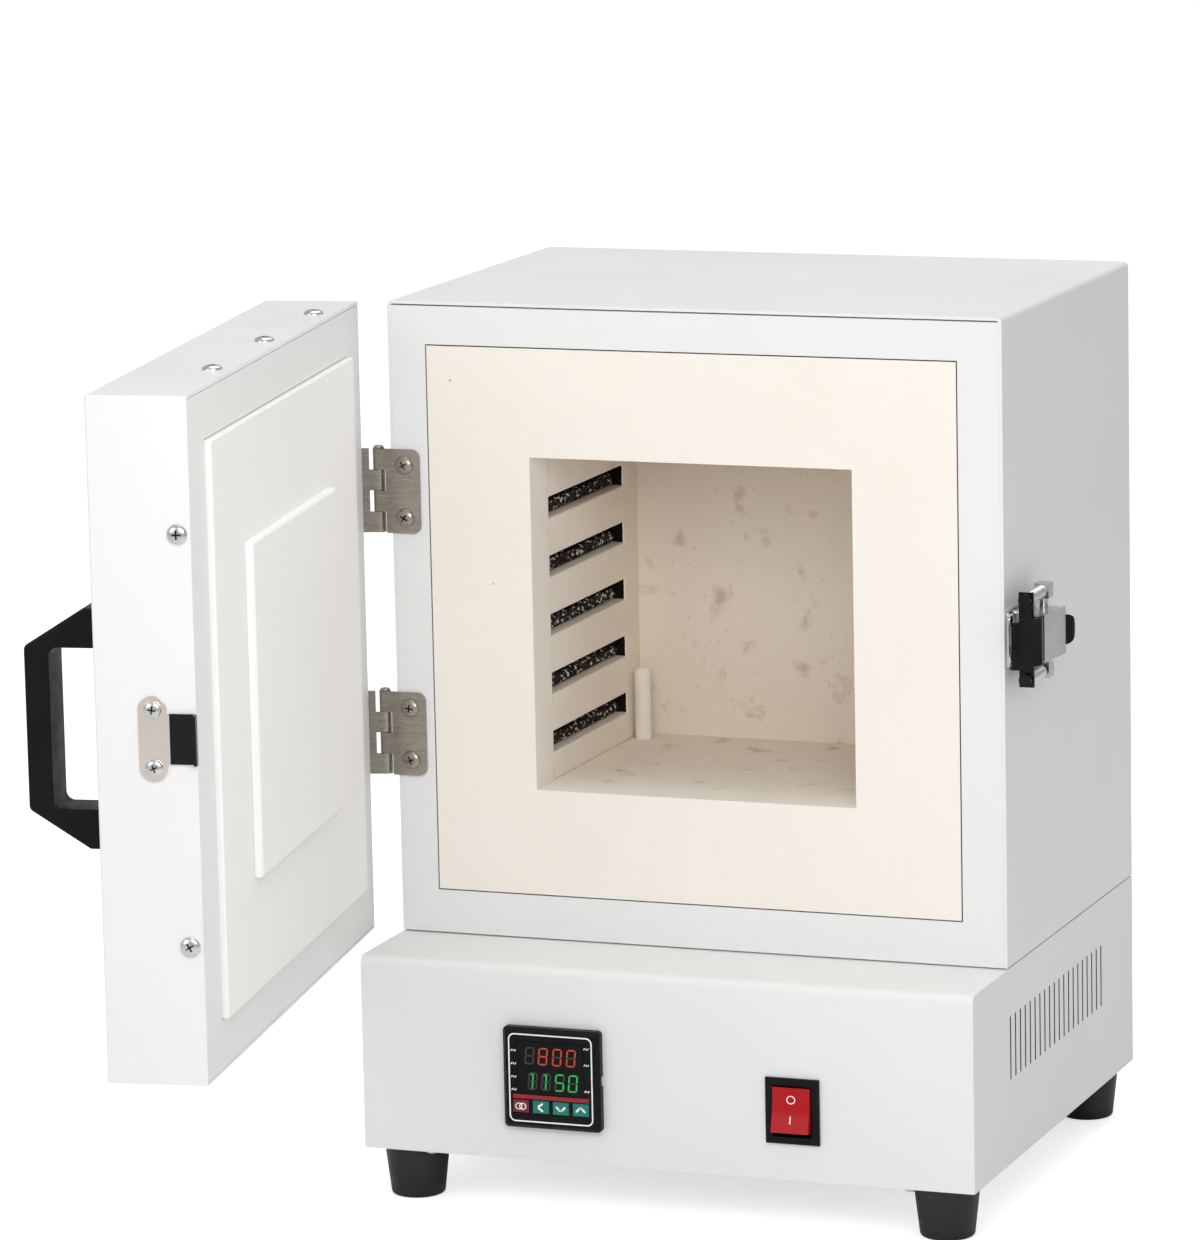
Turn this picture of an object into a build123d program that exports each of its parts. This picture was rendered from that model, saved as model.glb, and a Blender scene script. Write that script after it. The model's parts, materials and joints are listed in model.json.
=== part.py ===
from build123d import *
import os

os.makedirs("parts", exist_ok=True)

# ---------------------------------------------------------------------------
# Small bench-top muffle furnace. Millimetres. X right, Y to the back, Z up.
# The origin is on the bench, in the middle of the four feet.
# ---------------------------------------------------------------------------

# Overall sizes
HOUSING_W = 300.0
HOUSING_H = 302.0
HOUSING_D = 206.0
BASE_H = 92.5
BASE_STEP = 53.5
FOOT_H = 25.0
FOOT_IN_X = 19.0
FOOT_IN_FRONT = 18.5
FOOT_IN_BACK = 16.0

# Sheet metal
SHEET = 1.5
SEAM = 0.3
OPEN_SEAM = 0.7
FIT = 0.05
LIP = 12.0
FLANGE = 14.0
BEND_R = 4.0
TOP_BEND_R = 2.5

# Borders of the housing's front round its board
BORDER_LEFT = 19.0
BORDER_RIGHT = 21.5
BORDER_LOW = 21.5
BORDER_TOP = 20.5

# Hot chamber
MOUTH = 158.0
CHAMBER_LIFT = 72.0
BACK_ROOM = 64.0
FRONT_BOARD_T = 23.0
BOARD_T = 26.0
GROOVE_COUNT = 5
GROOVE_PITCH = 28.0
GROOVE_FIRST = 18.5
GROOVE_H = 10.0
GROOVE_DEEP = 11.5
GROOVE_SHORT = 19.0
COIL_R = 4.2
COIL_IN = 2.0
COIL_END = 1.0
SHEATH_R = 4.0
SHEATH_STANDS = 35.0
SHEATH_IN = 5.5
SHEATH_FROM_BACK = 12.0
SHEATH_EASE = 0.5
HEAD_R = 10.0
HEAD_H = 14.0
HEAD_FLOOR = 4.0

# Door, described closed and then swung open
DOOR_OVERLAP = 4.0
DOOR_LIFT = 1.0
DOOR_DROP = 0.5
DOOR_T = 45.0
DOOR_GAP = 6.0
DOOR_OPEN = 81.0
PANEL_BORDER_HINGE = 22.5
PANEL_BORDER_LATCH = 27.0
PANEL_BORDER_Z = 23.25
PANEL_SEAM = 0.6
PANEL_RAISE = 3.0
PLUG_CLEAR = 4.0
PLUG_RAISE = 4.0
DOOR_BOARD_T = 22.0
RIM_FLANGE = 17.0
RIM_EDGE = 9.0

# Hinges
PIN_OUT = 6.8
PIN_BACK = 1.6
PIN_R = 1.5
KNUCKLE_R = 2.8
KNUCKLE_H = 10.0
LEAF_T = 1.2
LEAF_REACH = 21.5
LEAF_NOTCH = 4.3
HINGE_LIFTS = (95.8, 211.8)
HINGE_SCREW_REACH = 13.8
HINGE_SCREW_DZ = 12.5
LEAF_CORNER_R = 4.0
RUN = 0.05

# Screws: head radius, head height, shank radius, shank length
DOOR_SCREW = (4.6, 2.2, 1.9, 9.0)
HINGE_SCREW = (4.5, 2.0, 1.9, 8.0)
PANEL_SCREW = (3.6, 2.2, 1.9, 7.0)
KEEPER_SCREW = (4.0, 1.8, 1.5, 4.0)
INLET_SCREW = (2.8, 1.8, 1.5, 9.0)
RIVET = (2.8, 0.9, 1.5, 3.0)
TRAY_SCREW = (3.0, 2.0, 1.6, 6.0)
PIN_CAP = (2.4, 1.2, 1.5, 1.0)
FOOT_BOLT = (4.2, 2.8, 2.0, 22.0)
SCREW_EASE = 0.2

# Latch and keeper
LATCH_LIFT = 153.5
LATCH_PLATE = (2.0, 48.0, 14.0)
RIVET_YS = (5.2, 44.6)
RIVET_DZ = 9.0
KEEPER_H = 37.5
KEEPER_T = 1.2
KEEPER_PAST_DOOR = 0.8
KEEPER_SCREW_DZ = 12.7
TONGUE_H = 22.0
LEVER_PIVOT = (7.0, 14.0)
CLAW_PIVOT = (8.5, 34.0)
LATCH_PIN_R = 2.0
ROD_DZ = 18.5
ROD_R = 1.5
SPRING_R = 3.1

# Handle
HANDLE_FROM_EDGE = 34.5
HANDLE_LIFT = 152.0
HANDLE_WIDE = 22.0
HANDLE_PROFILE = ((-53, 0), (-53, 11), (-36, 38), (36, 38), (53, 11), (53, 0),
                  (35.5, 0), (35.5, 27), (-35.5, 27), (-35.5, 0))

# Controller and switch on the base front
CTRL_X = -53.5
CTRL_DOWN = 52.0
CTRL_SIDE = 48.0
CTRL_CUT = 45.5
CTRL_PROUD = 5.5
CTRL_BODY_D = 72.0
CTRL_CORNER_R = 2.0
CTRL_CHAMFER = 1.8
CTRL_NOTCH = (4.8, 1.3, 2.4)
WINDOW_W = 33.0
WINDOW_H = 25.0
WINDOW_UP = 5.2
KEY_W = 8.0
KEY_H = 6.0
KEY_PITCH = 9.9
KEY_DOWN = 13.2
KEY_PROUD = 0.7
KEY_DEEP = 3.4
SWITCH_X = 63.3
SWITCH_DOWN = 59.5
SWITCH_W = 26.0
SWITCH_H = 31.0
SWITCH_PROUD = 2.0
ROCKER_W = 18.0
ROCKER_L = 21.0
ROCKER_MID = 5.0
ROCKER_END = 6.9
ROCKER_SKIRT = 3.0
ROCKER_VALLEY_R = 45.0
ROCKER_TILT = 10.0
ROCKER_PIN_R = 1.2

# Inlet on the base back
INLET_FROM_SIDE = 55.0
INLET_DOWN = 55.0

# Vents in the base sides and slots in its bottom
VENT_COUNT = 20
VENT_PITCH = 7.77
VENT_W = 2.0
VENT_H = 30.0
VENT_DOWN = 22.7
VENT_FIRST = 3.9
SLOT_COUNT = 6
SLOT_PITCH = 12.0
SLOT_L = 70.0
SLOT_W = 3.0

# Derived planes
HALF = HOUSING_W / 2
BASE_Z = FOOT_H
DECK_Z = FOOT_H + BASE_H
TOP_Z = DECK_Z + HOUSING_H
FOOT_SPAN_X = HOUSING_W - 2 * FOOT_IN_X
FOOT_SPAN_Y = BASE_STEP + HOUSING_D - FOOT_IN_FRONT - FOOT_IN_BACK
BASE_Y = -FOOT_SPAN_Y / 2 - FOOT_IN_FRONT
FRONT_Y = BASE_Y + BASE_STEP
BACK_Y = FRONT_Y + HOUSING_D
OPENING_X0 = -HALF + BORDER_LEFT
OPENING_X1 = HALF - BORDER_RIGHT
OPENING_Z0 = DECK_Z + BORDER_LOW
OPENING_Z1 = TOP_Z - BORDER_TOP
CHAMBER_X = (OPENING_X0 + OPENING_X1) / 2
MOUTH_Z = DECK_Z + CHAMBER_LIFT
MOUTH_TOP = MOUTH_Z + MOUTH
MOUTH_C = MOUTH_Z + MOUTH / 2
BOARD_Y = FRONT_Y + FRONT_BOARD_T
CHAMBER_Y = BACK_Y - BACK_ROOM
LATCH_Z = DECK_Z + LATCH_LIFT
PIN_X = -HALF - PIN_OUT
PIN_Y = FRONT_Y + PIN_BACK


def block(x0, x1, y0, y1, z0, z1):
    """A box between two corners."""
    return Pos((x0 + x1) / 2, (y0 + y1) / 2, (z0 + z1) / 2) * Box(
        abs(x1 - x0), abs(y1 - y0), abs(z1 - z0)
    )


def prism(points, plane, depth, radii=None):
    """A closed outline on a plane, pushed out both ways; radii rounds chosen corners."""
    outline = make_face(Polyline(*points, close=True))
    for r, index in radii or ():
        near = Vector(*points[index])
        corner = min(outline.vertices(), key=lambda v: (Vector(v) - near).length)
        outline = fillet(corner, r)
    return extrude(plane * outline, depth / 2, both=True)


def rod(start, end, r):
    """A round bar from one point to another."""
    a = Vector(*start)
    b = Vector(*end)
    plane = Plane(origin=a, z_dir=b - a)
    return plane * Cylinder(r, (b - a).length, align=(Align.CENTER, Align.CENTER, Align.MIN))


def screw(place, out, sizes):
    """A domed pan-head screw whose head rests on the point given."""
    head_r, head_h, shank_r, shank_l = sizes
    outline = Polyline(
        (0, -shank_l), (shank_r, -shank_l), (shank_r, 0), (head_r, 0),
        (head_r, head_h * 0.45), (head_r * 0.8, head_h * 0.85), (head_r * 0.45, head_h),
        (0, head_h), close=True,
    )
    body = revolve(Plane.XZ * make_face(outline), Axis.Z)
    return Plane(origin=Vector(*place), z_dir=Vector(*out)) * body


def save(name, shape):
    """Write one named piece."""
    export_step(shape, "parts/" + name + ".step")


def group(solids):
    """Several equal solids kept as one piece."""
    return Compound(children=list(solids))


SIDES = (-1, 1)

# ---------------------------------------------------------------------------
# Base: bent casing, bottom plate, back panel, feet
# ---------------------------------------------------------------------------
skirt = prism(
    [(BASE_Y, BASE_Z), (BASE_Y, DECK_Z), (BACK_Y, DECK_Z), (BACK_Y, BASE_Z)],
    Plane.YZ, HOUSING_W, [(BEND_R, 1)],
)
hollow = prism(
    [(BASE_Y + SHEET, BASE_Z - 1), (BASE_Y + SHEET, DECK_Z - SHEET),
     (BACK_Y - 2 * SHEET, DECK_Z - SHEET), (BACK_Y - 2 * SHEET, BASE_Z - 1)],
    Plane.YZ, HOUSING_W - 2 * SHEET, [(BEND_R - SHEET, 1)],
)
rear_way = block(-HALF + SHEET + LIP, HALF - SHEET - LIP, BACK_Y - 3 * SHEET, BACK_Y + 1,
                 BASE_Z - 1, DECK_Z - SHEET - LIP)
rear_seat = block(-HALF + SHEET, HALF - SHEET, BACK_Y - SHEET, BACK_Y + 1, BASE_Z - 1, DECK_Z - SHEET)
casing = skirt - hollow - rear_way - rear_seat

CTRL_Z = DECK_Z - CTRL_DOWN
SWITCH_Z = DECK_Z - SWITCH_DOWN
SWITCH_CUT_W = SWITCH_W - 4.0
SWITCH_CUT_H = SWITCH_H - 2.6
casing -= block(CTRL_X - CTRL_CUT / 2, CTRL_X + CTRL_CUT / 2, BASE_Y - 1, BASE_Y + 3,
                CTRL_Z - CTRL_CUT / 2, CTRL_Z + CTRL_CUT / 2)
casing -= block(SWITCH_X - SWITCH_CUT_W / 2, SWITCH_X + SWITCH_CUT_W / 2, BASE_Y - 1, BASE_Y + 3,
                SWITCH_Z - SWITCH_CUT_H / 2, SWITCH_Z + SWITCH_CUT_H / 2)
vent = Box(HOUSING_W + 10, VENT_W, VENT_H)
vent_z = DECK_Z - VENT_DOWN - VENT_H / 2
vents = [Pos(0, FRONT_Y + VENT_FIRST + n * VENT_PITCH, vent_z) * vent for n in range(VENT_COUNT)]
casing = casing - vents

SHEATH_X = CHAMBER_X - MOUTH / 2 + SHEATH_IN
SHEATH_Y = CHAMBER_Y - SHEATH_FROM_BACK
casing -= Pos(SHEATH_X, SHEATH_Y, DECK_Z) * Cylinder(SHEATH_R + 2 * SHEATH_EASE, 6 * SHEET)

PANEL_HOLE_R = PANEL_SCREW[2] + SCREW_EASE
PANEL_SCREW_X = HALF - SHEET - LIP / 2
BASE_PANEL_ZS = (BASE_Z + FLANGE + 3, DECK_Z - SHEET - LIP / 2)
base_spots = [(s * PANEL_SCREW_X, z) for s in SIDES for z in BASE_PANEL_ZS]
base_holes = [rod((x, BACK_Y - 8, z), (x, BACK_Y + 4, z), PANEL_HOLE_R) for x, z in base_spots]
casing = casing - base_holes

TRAY_SCREW_FROM_FOOT = 13.0
TRAY_SCREW_IN = 3.0
TRAY_SCREW_X = FOOT_SPAN_X / 2 - TRAY_SCREW_FROM_FOOT
casing += block(-HALF + LIP, HALF - LIP, BASE_Y + SHEET / 2, BASE_Y + SHEET + LIP,
                BASE_Z + SHEET, BASE_Z + 2 * SHEET)
tray_spots = [(s * TRAY_SCREW_X, BASE_Y + SHEET + TRAY_SCREW_IN) for s in SIDES]
tray_holes = [rod((x, y, BASE_Z - 1), (x, y, BASE_Z + 8), TRAY_SCREW[2] + SCREW_EASE) for x, y in tray_spots]
save("base_casing", casing - tray_holes)

inner_x = HALF - SHEET - SEAM
tray_front = BASE_Y + SHEET + SEAM
flange_front = tray_front + LIP + SEAM
tray_back = BACK_Y - 3 * SHEET
tray = block(-inner_x, inner_x, tray_front, tray_back, BASE_Z, BASE_Z + SHEET)
tray += block(-inner_x, inner_x, flange_front, tray_back, BASE_Z, BASE_Z + FLANGE)
tray -= block(-inner_x + SHEET, inner_x - SHEET, tray_front - 1, tray_back - SHEET,
              BASE_Z + SHEET, BASE_Z + FLANGE + 1)
foot_spots = [(a * FOOT_SPAN_X / 2, b * FOOT_SPAN_Y / 2) for a in SIDES for b in SIDES]
FOOT_BOLT_R = FOOT_BOLT[2]
FOOT_HOLE_R = FOOT_BOLT_R + SCREW_EASE
for x, y in foot_spots:
    tray -= Pos(x, y, BASE_Z) * Cylinder(FOOT_HOLE_R, 6 * SHEET)
slot = Box(SLOT_L, SLOT_W, 6 * SHEET)
for n in range(SLOT_COUNT):
    tray -= Pos(0, (n - SLOT_COUNT / 2 + 0.5) * SLOT_PITCH, BASE_Z) * slot
save("base_bottom_plate", tray - tray_holes)

INLET_X = HALF - INLET_FROM_SIDE
INLET_Z = DECK_Z - INLET_DOWN
INLET_BODY_W = 27.4
INLET_BODY_H = 20.0
back_low = block(-inner_x, inner_x, BACK_Y - SHEET, BACK_Y, BASE_Z + SEAM, DECK_Z - SHEET - SEAM)
back_low = back_low - base_holes
back_low -= block(INLET_X - INLET_BODY_W / 2 - 0.2, INLET_X + INLET_BODY_W / 2 + 0.2, BACK_Y - 9, BACK_Y + 9,
                  INLET_Z - INLET_BODY_H / 2 - 0.2, INLET_Z + INLET_BODY_H / 2 + 0.2)
INLET_SCREW_DX = 20.0
inlet_spots = [(INLET_X + s * INLET_SCREW_DX, INLET_Z) for s in SIDES]
inlet_holes = [rod((x, BACK_Y - 9, z), (x, BACK_Y + 9, z), INLET_SCREW[2] + SCREW_EASE / 2)
               for x, z in inlet_spots]
back_low = back_low - inlet_holes
save("base_back_panel", back_low)

FOOT_TOP_R = 15.5
FOOT_BOTTOM_R = 12.6
FOOT_EDGE_R = 1.8
BORE_R = 5.5
BORE_H = 0.44 * FOOT_H
foot_outline = make_face(Polyline(
    (FOOT_HOLE_R, FOOT_H), (FOOT_TOP_R, FOOT_H), (FOOT_BOTTOM_R, 0), (BORE_R, 0), (BORE_R, BORE_H),
    (FOOT_HOLE_R, BORE_H), close=True,
))
foot = revolve(Plane.XZ * foot_outline, Axis.Z)
rims = foot.edges().filter_by(GeomType.CIRCLE).filter_by(lambda e: e.radius > BORE_R + 1)
foot = fillet(rims.group_by(Axis.Z)[0], FOOT_EDGE_R)
save("feet", group(Pos(x, y, 0) * foot for x, y in foot_spots))

NUT_R = 4.0
NUT_H = 3.2
bolt = screw((0, 0, BORE_H), (0, 0, -1), FOOT_BOLT)
nut = Pos(0, 0, BASE_Z + SHEET + NUT_H / 2) * extrude(RegularPolygon(NUT_R, 6), NUT_H / 2, both=True)
nut -= Pos(0, 0, BASE_Z) * Cylinder(FOOT_BOLT_R + RUN, 10 * NUT_H)
save("foot_bolts", group([Pos(x, y, 0) * p for x, y in foot_spots for p in (bolt, nut)]))

# ---------------------------------------------------------------------------
# Housing: wrapper, front frame, floor, back panel
# ---------------------------------------------------------------------------
wall_in = HALF - SHEET
WRAP_END = BACK_Y - 2 * SHEET
wrapper = prism([(-HALF, DECK_Z), (-HALF, TOP_Z), (HALF, TOP_Z), (HALF, DECK_Z)],
                Plane.XZ.offset(-(FRONT_Y + BACK_Y) / 2), HOUSING_D, [(TOP_BEND_R, 1), (TOP_BEND_R, 2)])
wrapper -= prism([(-wall_in, DECK_Z - 1), (-wall_in, TOP_Z - SHEET), (wall_in, TOP_Z - SHEET),
                  (wall_in, DECK_Z - 1)],
                 Plane.XZ.offset(-(FRONT_Y - 1 + WRAP_END) / 2), WRAP_END - FRONT_Y + 1,
                 [(TOP_BEND_R - SHEET, 1), (TOP_BEND_R - SHEET, 2)])
wrapper -= block(-wall_in + LIP, wall_in - LIP, BACK_Y - 3 * SHEET, BACK_Y + 1,
                 DECK_Z - 1, TOP_Z - SHEET - LIP)
wrapper -= block(-wall_in, wall_in, BACK_Y - SHEET, BACK_Y + 1, DECK_Z - 1, TOP_Z - SHEET)
wrapper -= block(-HALF - 1, HALF + 1, FRONT_Y - 1, BACK_Y + 1, DECK_Z - 1, DECK_Z + OPEN_SEAM)
HOUSING_PANEL_ZS = (DECK_Z + 2 * LIP, TOP_Z - SHEET - LIP / 2)
top_spots = [(s * PANEL_SCREW_X, z) for s in SIDES for z in HOUSING_PANEL_ZS]
top_holes = [rod((x, BACK_Y - 8, z), (x, BACK_Y + 4, z), PANEL_HOLE_R) for x, z in top_spots]
wrapper = wrapper - top_holes
RIVET_HOLE_R = RIVET[2] + SCREW_EASE / 2
rivet_spots = [(FRONT_Y + y, LATCH_Z + s * RIVET_DZ) for y in RIVET_YS for s in SIDES]
wrapper = wrapper - [rod((HALF - 6, y, z), (HALF + 6, y, z), RIVET_HOLE_R) for y, z in rivet_spots]
save("housing_wrapper", wrapper)

back_high = block(-inner_x, inner_x, BACK_Y - SHEET, BACK_Y, DECK_Z + SEAM, TOP_Z - SHEET - SEAM)
save("housing_back_panel", back_high - top_holes)

back_screws = [screw((x, BACK_Y, z), (0, 1, 0), PANEL_SCREW) for x, z in base_spots + top_spots]
tray_screws = [screw((x, y, BASE_Z), (0, 0, -1), TRAY_SCREW) for x, y in tray_spots]
save("panel_screws", group(back_screws + tray_screws))

FRAME_LIP = 9.0
frame_x = wall_in - FIT
frame_z0 = DECK_Z + OPEN_SEAM
frame_z1 = TOP_Z - SHEET - OPEN_SEAM
frame = block(-frame_x, frame_x, FRONT_Y, FRONT_Y + FLANGE, frame_z0, frame_z1)
frame -= block(-frame_x + SHEET, frame_x - SHEET, FRONT_Y + SHEET, FRONT_Y + FLANGE + 1,
               frame_z0 + SHEET, frame_z1 - SHEET)
frame += block(OPENING_X0 - SEAM - SHEET, OPENING_X1 + SEAM + SHEET, FRONT_Y, FRONT_Y + FRAME_LIP,
               OPENING_Z0 - SEAM - SHEET, OPENING_Z1 + SEAM + SHEET)
frame -= block(OPENING_X0 - SEAM, OPENING_X1 + SEAM, FRONT_Y - 1, FRONT_Y + FLANGE + 1,
               OPENING_Z0 - SEAM, OPENING_Z1 + SEAM)
HINGE_SCREW_X = PIN_X + HINGE_SCREW_REACH
HINGE_ZS = [DECK_Z + lift for lift in HINGE_LIFTS]
hinge_screw_zs = [z + s * HINGE_SCREW_DZ for z in HINGE_ZS for s in SIDES]
HINGE_HOLE_R = HINGE_SCREW[2] + SCREW_EASE
frame = frame - [rod((HINGE_SCREW_X, FRONT_Y - 2, z), (HINGE_SCREW_X, FRONT_Y + 4, z), HINGE_HOLE_R)
                 for z in hinge_screw_zs]
save("housing_front_frame", frame)

floor = block(-inner_x, inner_x, FRONT_Y + FLANGE + SEAM, BACK_Y - 3 * SHEET, DECK_Z, DECK_Z + SHEET)
floor -= Pos(SHEATH_X, SHEATH_Y, DECK_Z) * Cylinder(SHEATH_R + SHEATH_EASE, 6 * SHEET)
save("housing_floor_plate", floor)

# ---------------------------------------------------------------------------
# Refractory chamber
# ---------------------------------------------------------------------------
half_mouth = MOUTH / 2
half_core = half_mouth + BOARD_T
CORE_X0 = CHAMBER_X - half_core
CORE_X1 = CHAMBER_X + half_core
CORE_Z0 = MOUTH_Z - BOARD_T
CORE_Z1 = MOUTH_TOP + BOARD_T

front_board = block(OPENING_X0, OPENING_X1, FRONT_Y, BOARD_Y, OPENING_Z0, OPENING_Z1)
front_board -= block(CHAMBER_X - half_mouth, CHAMBER_X + half_mouth, FRONT_Y - 1, BOARD_Y + 1,
                     MOUTH_Z, MOUTH_TOP)
save("front_board", front_board)

groove_zs = [MOUTH_Z + GROOVE_FIRST + n * GROOVE_PITCH for n in range(GROOVE_COUNT)]
groove_end = CHAMBER_Y - GROOVE_SHORT
for side, word in ((-1, "left"), (1, "right")):
    wall = CHAMBER_X + side * half_mouth
    board = block(wall, wall + side * BOARD_T, BOARD_Y, CHAMBER_Y, MOUTH_Z, MOUTH_TOP)
    board = board - [
        block(wall - side, wall + side * GROOVE_DEEP, BOARD_Y, groove_end, z - GROOVE_H / 2, z + GROOVE_H / 2)
        for z in groove_zs]
    save("element_board_" + word, board)
    coil_x = wall + side * (COIL_R + COIL_IN)
    coil_zs = [z - GROOVE_H / 2 + COIL_R + FIT for z in groove_zs]
    save("heating_coils_" + word, group(
        rod((coil_x, BOARD_Y + COIL_END, z), (coil_x, groove_end - COIL_END, z), COIL_R) for z in coil_zs))

hearth = block(CORE_X0, CORE_X1, BOARD_Y, CHAMBER_Y, CORE_Z0, MOUTH_Z)
hearth -= Pos(SHEATH_X, SHEATH_Y, MOUTH_Z) * Cylinder(SHEATH_R + SHEATH_EASE, 3 * BOARD_T)
save("hearth_board", hearth)
save("roof_board", block(CORE_X0, CORE_X1, BOARD_Y, CHAMBER_Y, MOUTH_TOP, CORE_Z1))
BACK_BOARD_Y = CHAMBER_Y + BOARD_T
save("back_board", block(CORE_X0, CORE_X1, CHAMBER_Y, BACK_BOARD_Y, CORE_Z0, CORE_Z1))

WOOL_EASE = 0.5
WOOL_BACK = 14.0
wool_y0 = BOARD_Y + WOOL_EASE
wool_y1 = BACK_Y - WOOL_BACK
wool_z0 = DECK_Z + SHEET
wool_z1 = TOP_Z - SHEET - WOOL_EASE
save("insulation_left", block(-inner_x, CORE_X0, wool_y0, wool_y1, wool_z0, wool_z1))
save("insulation_right", block(CORE_X1, inner_x, wool_y0, wool_y1, wool_z0, wool_z1))
save("insulation_top", block(CORE_X0, CORE_X1, wool_y0, wool_y1, CORE_Z1, wool_z1))
wool_low = block(CORE_X0, CORE_X1, wool_y0, wool_y1, wool_z0, CORE_Z0)
wool_low -= Pos(SHEATH_X, SHEATH_Y, DECK_Z) * Cylinder(SHEATH_R + SHEATH_EASE, 2 * CHAMBER_LIFT)
save("insulation_bottom", wool_low)
save("insulation_back", block(CORE_X0, CORE_X1, BACK_BOARD_Y, BACK_Y - 3 * SHEET - WOOL_EASE,
                              CORE_Z0, CORE_Z1))

HEAD_BOTTOM = DECK_Z - SHEET - SEAM - HEAD_H
sheath_foot = HEAD_BOTTOM + HEAD_FLOOR
sheath = rod((SHEATH_X, SHEATH_Y, sheath_foot), (SHEATH_X, SHEATH_Y, MOUTH_Z + SHEATH_STANDS), SHEATH_R)
sheath = fillet(sheath.edges().group_by(Axis.Z)[-1], 0.75 * SHEATH_R)
save("thermocouple_sheath", sheath)
head = rod((SHEATH_X, SHEATH_Y, HEAD_BOTTOM), (SHEATH_X, SHEATH_Y, HEAD_BOTTOM + HEAD_H), HEAD_R)
head -= rod((SHEATH_X, SHEATH_Y, sheath_foot), (SHEATH_X, SHEATH_Y, sheath_foot + HEAD_H), SHEATH_R + RUN)
save("thermocouple_head", head)

# ---------------------------------------------------------------------------
# Controller: case, window, keys, clamp
# ---------------------------------------------------------------------------
ctrl_front = BASE_Y - CTRL_PROUD
bezel = block(CTRL_X - CTRL_SIDE / 2, CTRL_X + CTRL_SIDE / 2, ctrl_front, BASE_Y,
              CTRL_Z - CTRL_SIDE / 2, CTRL_Z + CTRL_SIDE / 2)
bezel = fillet(bezel.edges().filter_by(Axis.Y), CTRL_CORNER_R)
bezel = chamfer(bezel.faces().sort_by(Axis.Y)[0].edges(), CTRL_CHAMFER)
notch_h, notch_in, notch_d = CTRL_NOTCH
for s in SIDES:
    edge_x = CTRL_X + s * CTRL_SIDE / 2
    bezel -= block(edge_x - s * notch_in, edge_x + s, BASE_Y - notch_d, BASE_Y + 1,
                   CTRL_Z - notch_h / 2, CTRL_Z + notch_h / 2)
CTRL_BODY = CTRL_CUT - 0.6
bezel += block(CTRL_X - CTRL_BODY / 2, CTRL_X + CTRL_BODY / 2, BASE_Y, BASE_Y + CTRL_BODY_D,
               CTRL_Z - CTRL_BODY / 2, CTRL_Z + CTRL_BODY / 2)
WINDOW_T = 1.0
window_box = (CTRL_X - WINDOW_W / 2, CTRL_X + WINDOW_W / 2, CTRL_Z + WINDOW_UP - WINDOW_H / 2,
              CTRL_Z + WINDOW_UP + WINDOW_H / 2)
wx0, wx1, wz0, wz1 = window_box
bezel -= block(wx0 - 0.15, wx1 + 0.15, ctrl_front - 1, ctrl_front + WINDOW_T, wz0 - 0.15, wz1 + 0.15)
key_xs = [CTRL_X + (n - 1.5) * KEY_PITCH for n in range(4)]
KEY_Z = CTRL_Z - KEY_DOWN
for x in key_xs:
    bezel -= block(x - KEY_W / 2 - SEAM, x + KEY_W / 2 + SEAM, ctrl_front - 1, ctrl_front + KEY_DEEP + KEY_PROUD,
                   KEY_Z - KEY_H / 2 - SEAM, KEY_Z + KEY_H / 2 + SEAM)
save("controller_case", bezel)
save("controller_window", block(wx0, wx1, ctrl_front + 0.05, ctrl_front + WINDOW_T, wz0, wz1))
for x, word in zip(key_xs, ("set", "shift", "down", "up")):
    key = block(x - KEY_W / 2, x + KEY_W / 2, ctrl_front - KEY_PROUD, ctrl_front + KEY_DEEP,
                KEY_Z - KEY_H / 2, KEY_Z + KEY_H / 2)
    save("key_" + word, fillet(key.faces().sort_by(Axis.Y)[0].edges(), 0.35))
CLAMP = CTRL_SIDE + 4.0
clamp_y = BASE_Y + SHEET
clamp = block(CTRL_X - CLAMP / 2, CTRL_X + CLAMP / 2, clamp_y, clamp_y + 7,
              CTRL_Z - CLAMP / 2, CTRL_Z + CLAMP / 2)
clamp -= block(CTRL_X - CTRL_BODY / 2 - SEAM, CTRL_X + CTRL_BODY / 2 + SEAM, clamp_y - 1, clamp_y + 8,
               CTRL_Z - CTRL_BODY / 2 - SEAM, CTRL_Z + CTRL_BODY / 2 + SEAM)
save("controller_clamp", clamp)

# ---------------------------------------------------------------------------
# Rocker switch
# ---------------------------------------------------------------------------
switch_front = BASE_Y - SWITCH_PROUD
shell = block(SWITCH_X - SWITCH_W / 2, SWITCH_X + SWITCH_W / 2, switch_front, BASE_Y,
              SWITCH_Z - SWITCH_H / 2, SWITCH_Z + SWITCH_H / 2)
shell = chamfer(shell.faces().sort_by(Axis.Y)[0].edges(), 0.5)
shell += block(SWITCH_X - SWITCH_CUT_W / 2 + 0.2, SWITCH_X + SWITCH_CUT_W / 2 - 0.2, BASE_Y, BASE_Y + 20,
               SWITCH_Z - SWITCH_CUT_H / 2 + 0.2, SWITCH_Z + SWITCH_CUT_H / 2 - 0.2)
ROCKER_Y = BASE_Y + 2.0
shell -= block(SWITCH_X - ROCKER_W / 2 - SEAM, SWITCH_X + ROCKER_W / 2 + SEAM, switch_front - 1, BASE_Y + 9,
               SWITCH_Z - 12, SWITCH_Z + 12)
ROCKER_PIN_END = ROCKER_W / 2 + 1.2
shell -= rod((SWITCH_X - ROCKER_PIN_END - 0.1, ROCKER_Y, SWITCH_Z),
             (SWITCH_X + ROCKER_PIN_END + 0.1, ROCKER_Y, SWITCH_Z), ROCKER_PIN_R + RUN)
save("switch_body", shell)
half_l = ROCKER_L / 2
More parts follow.
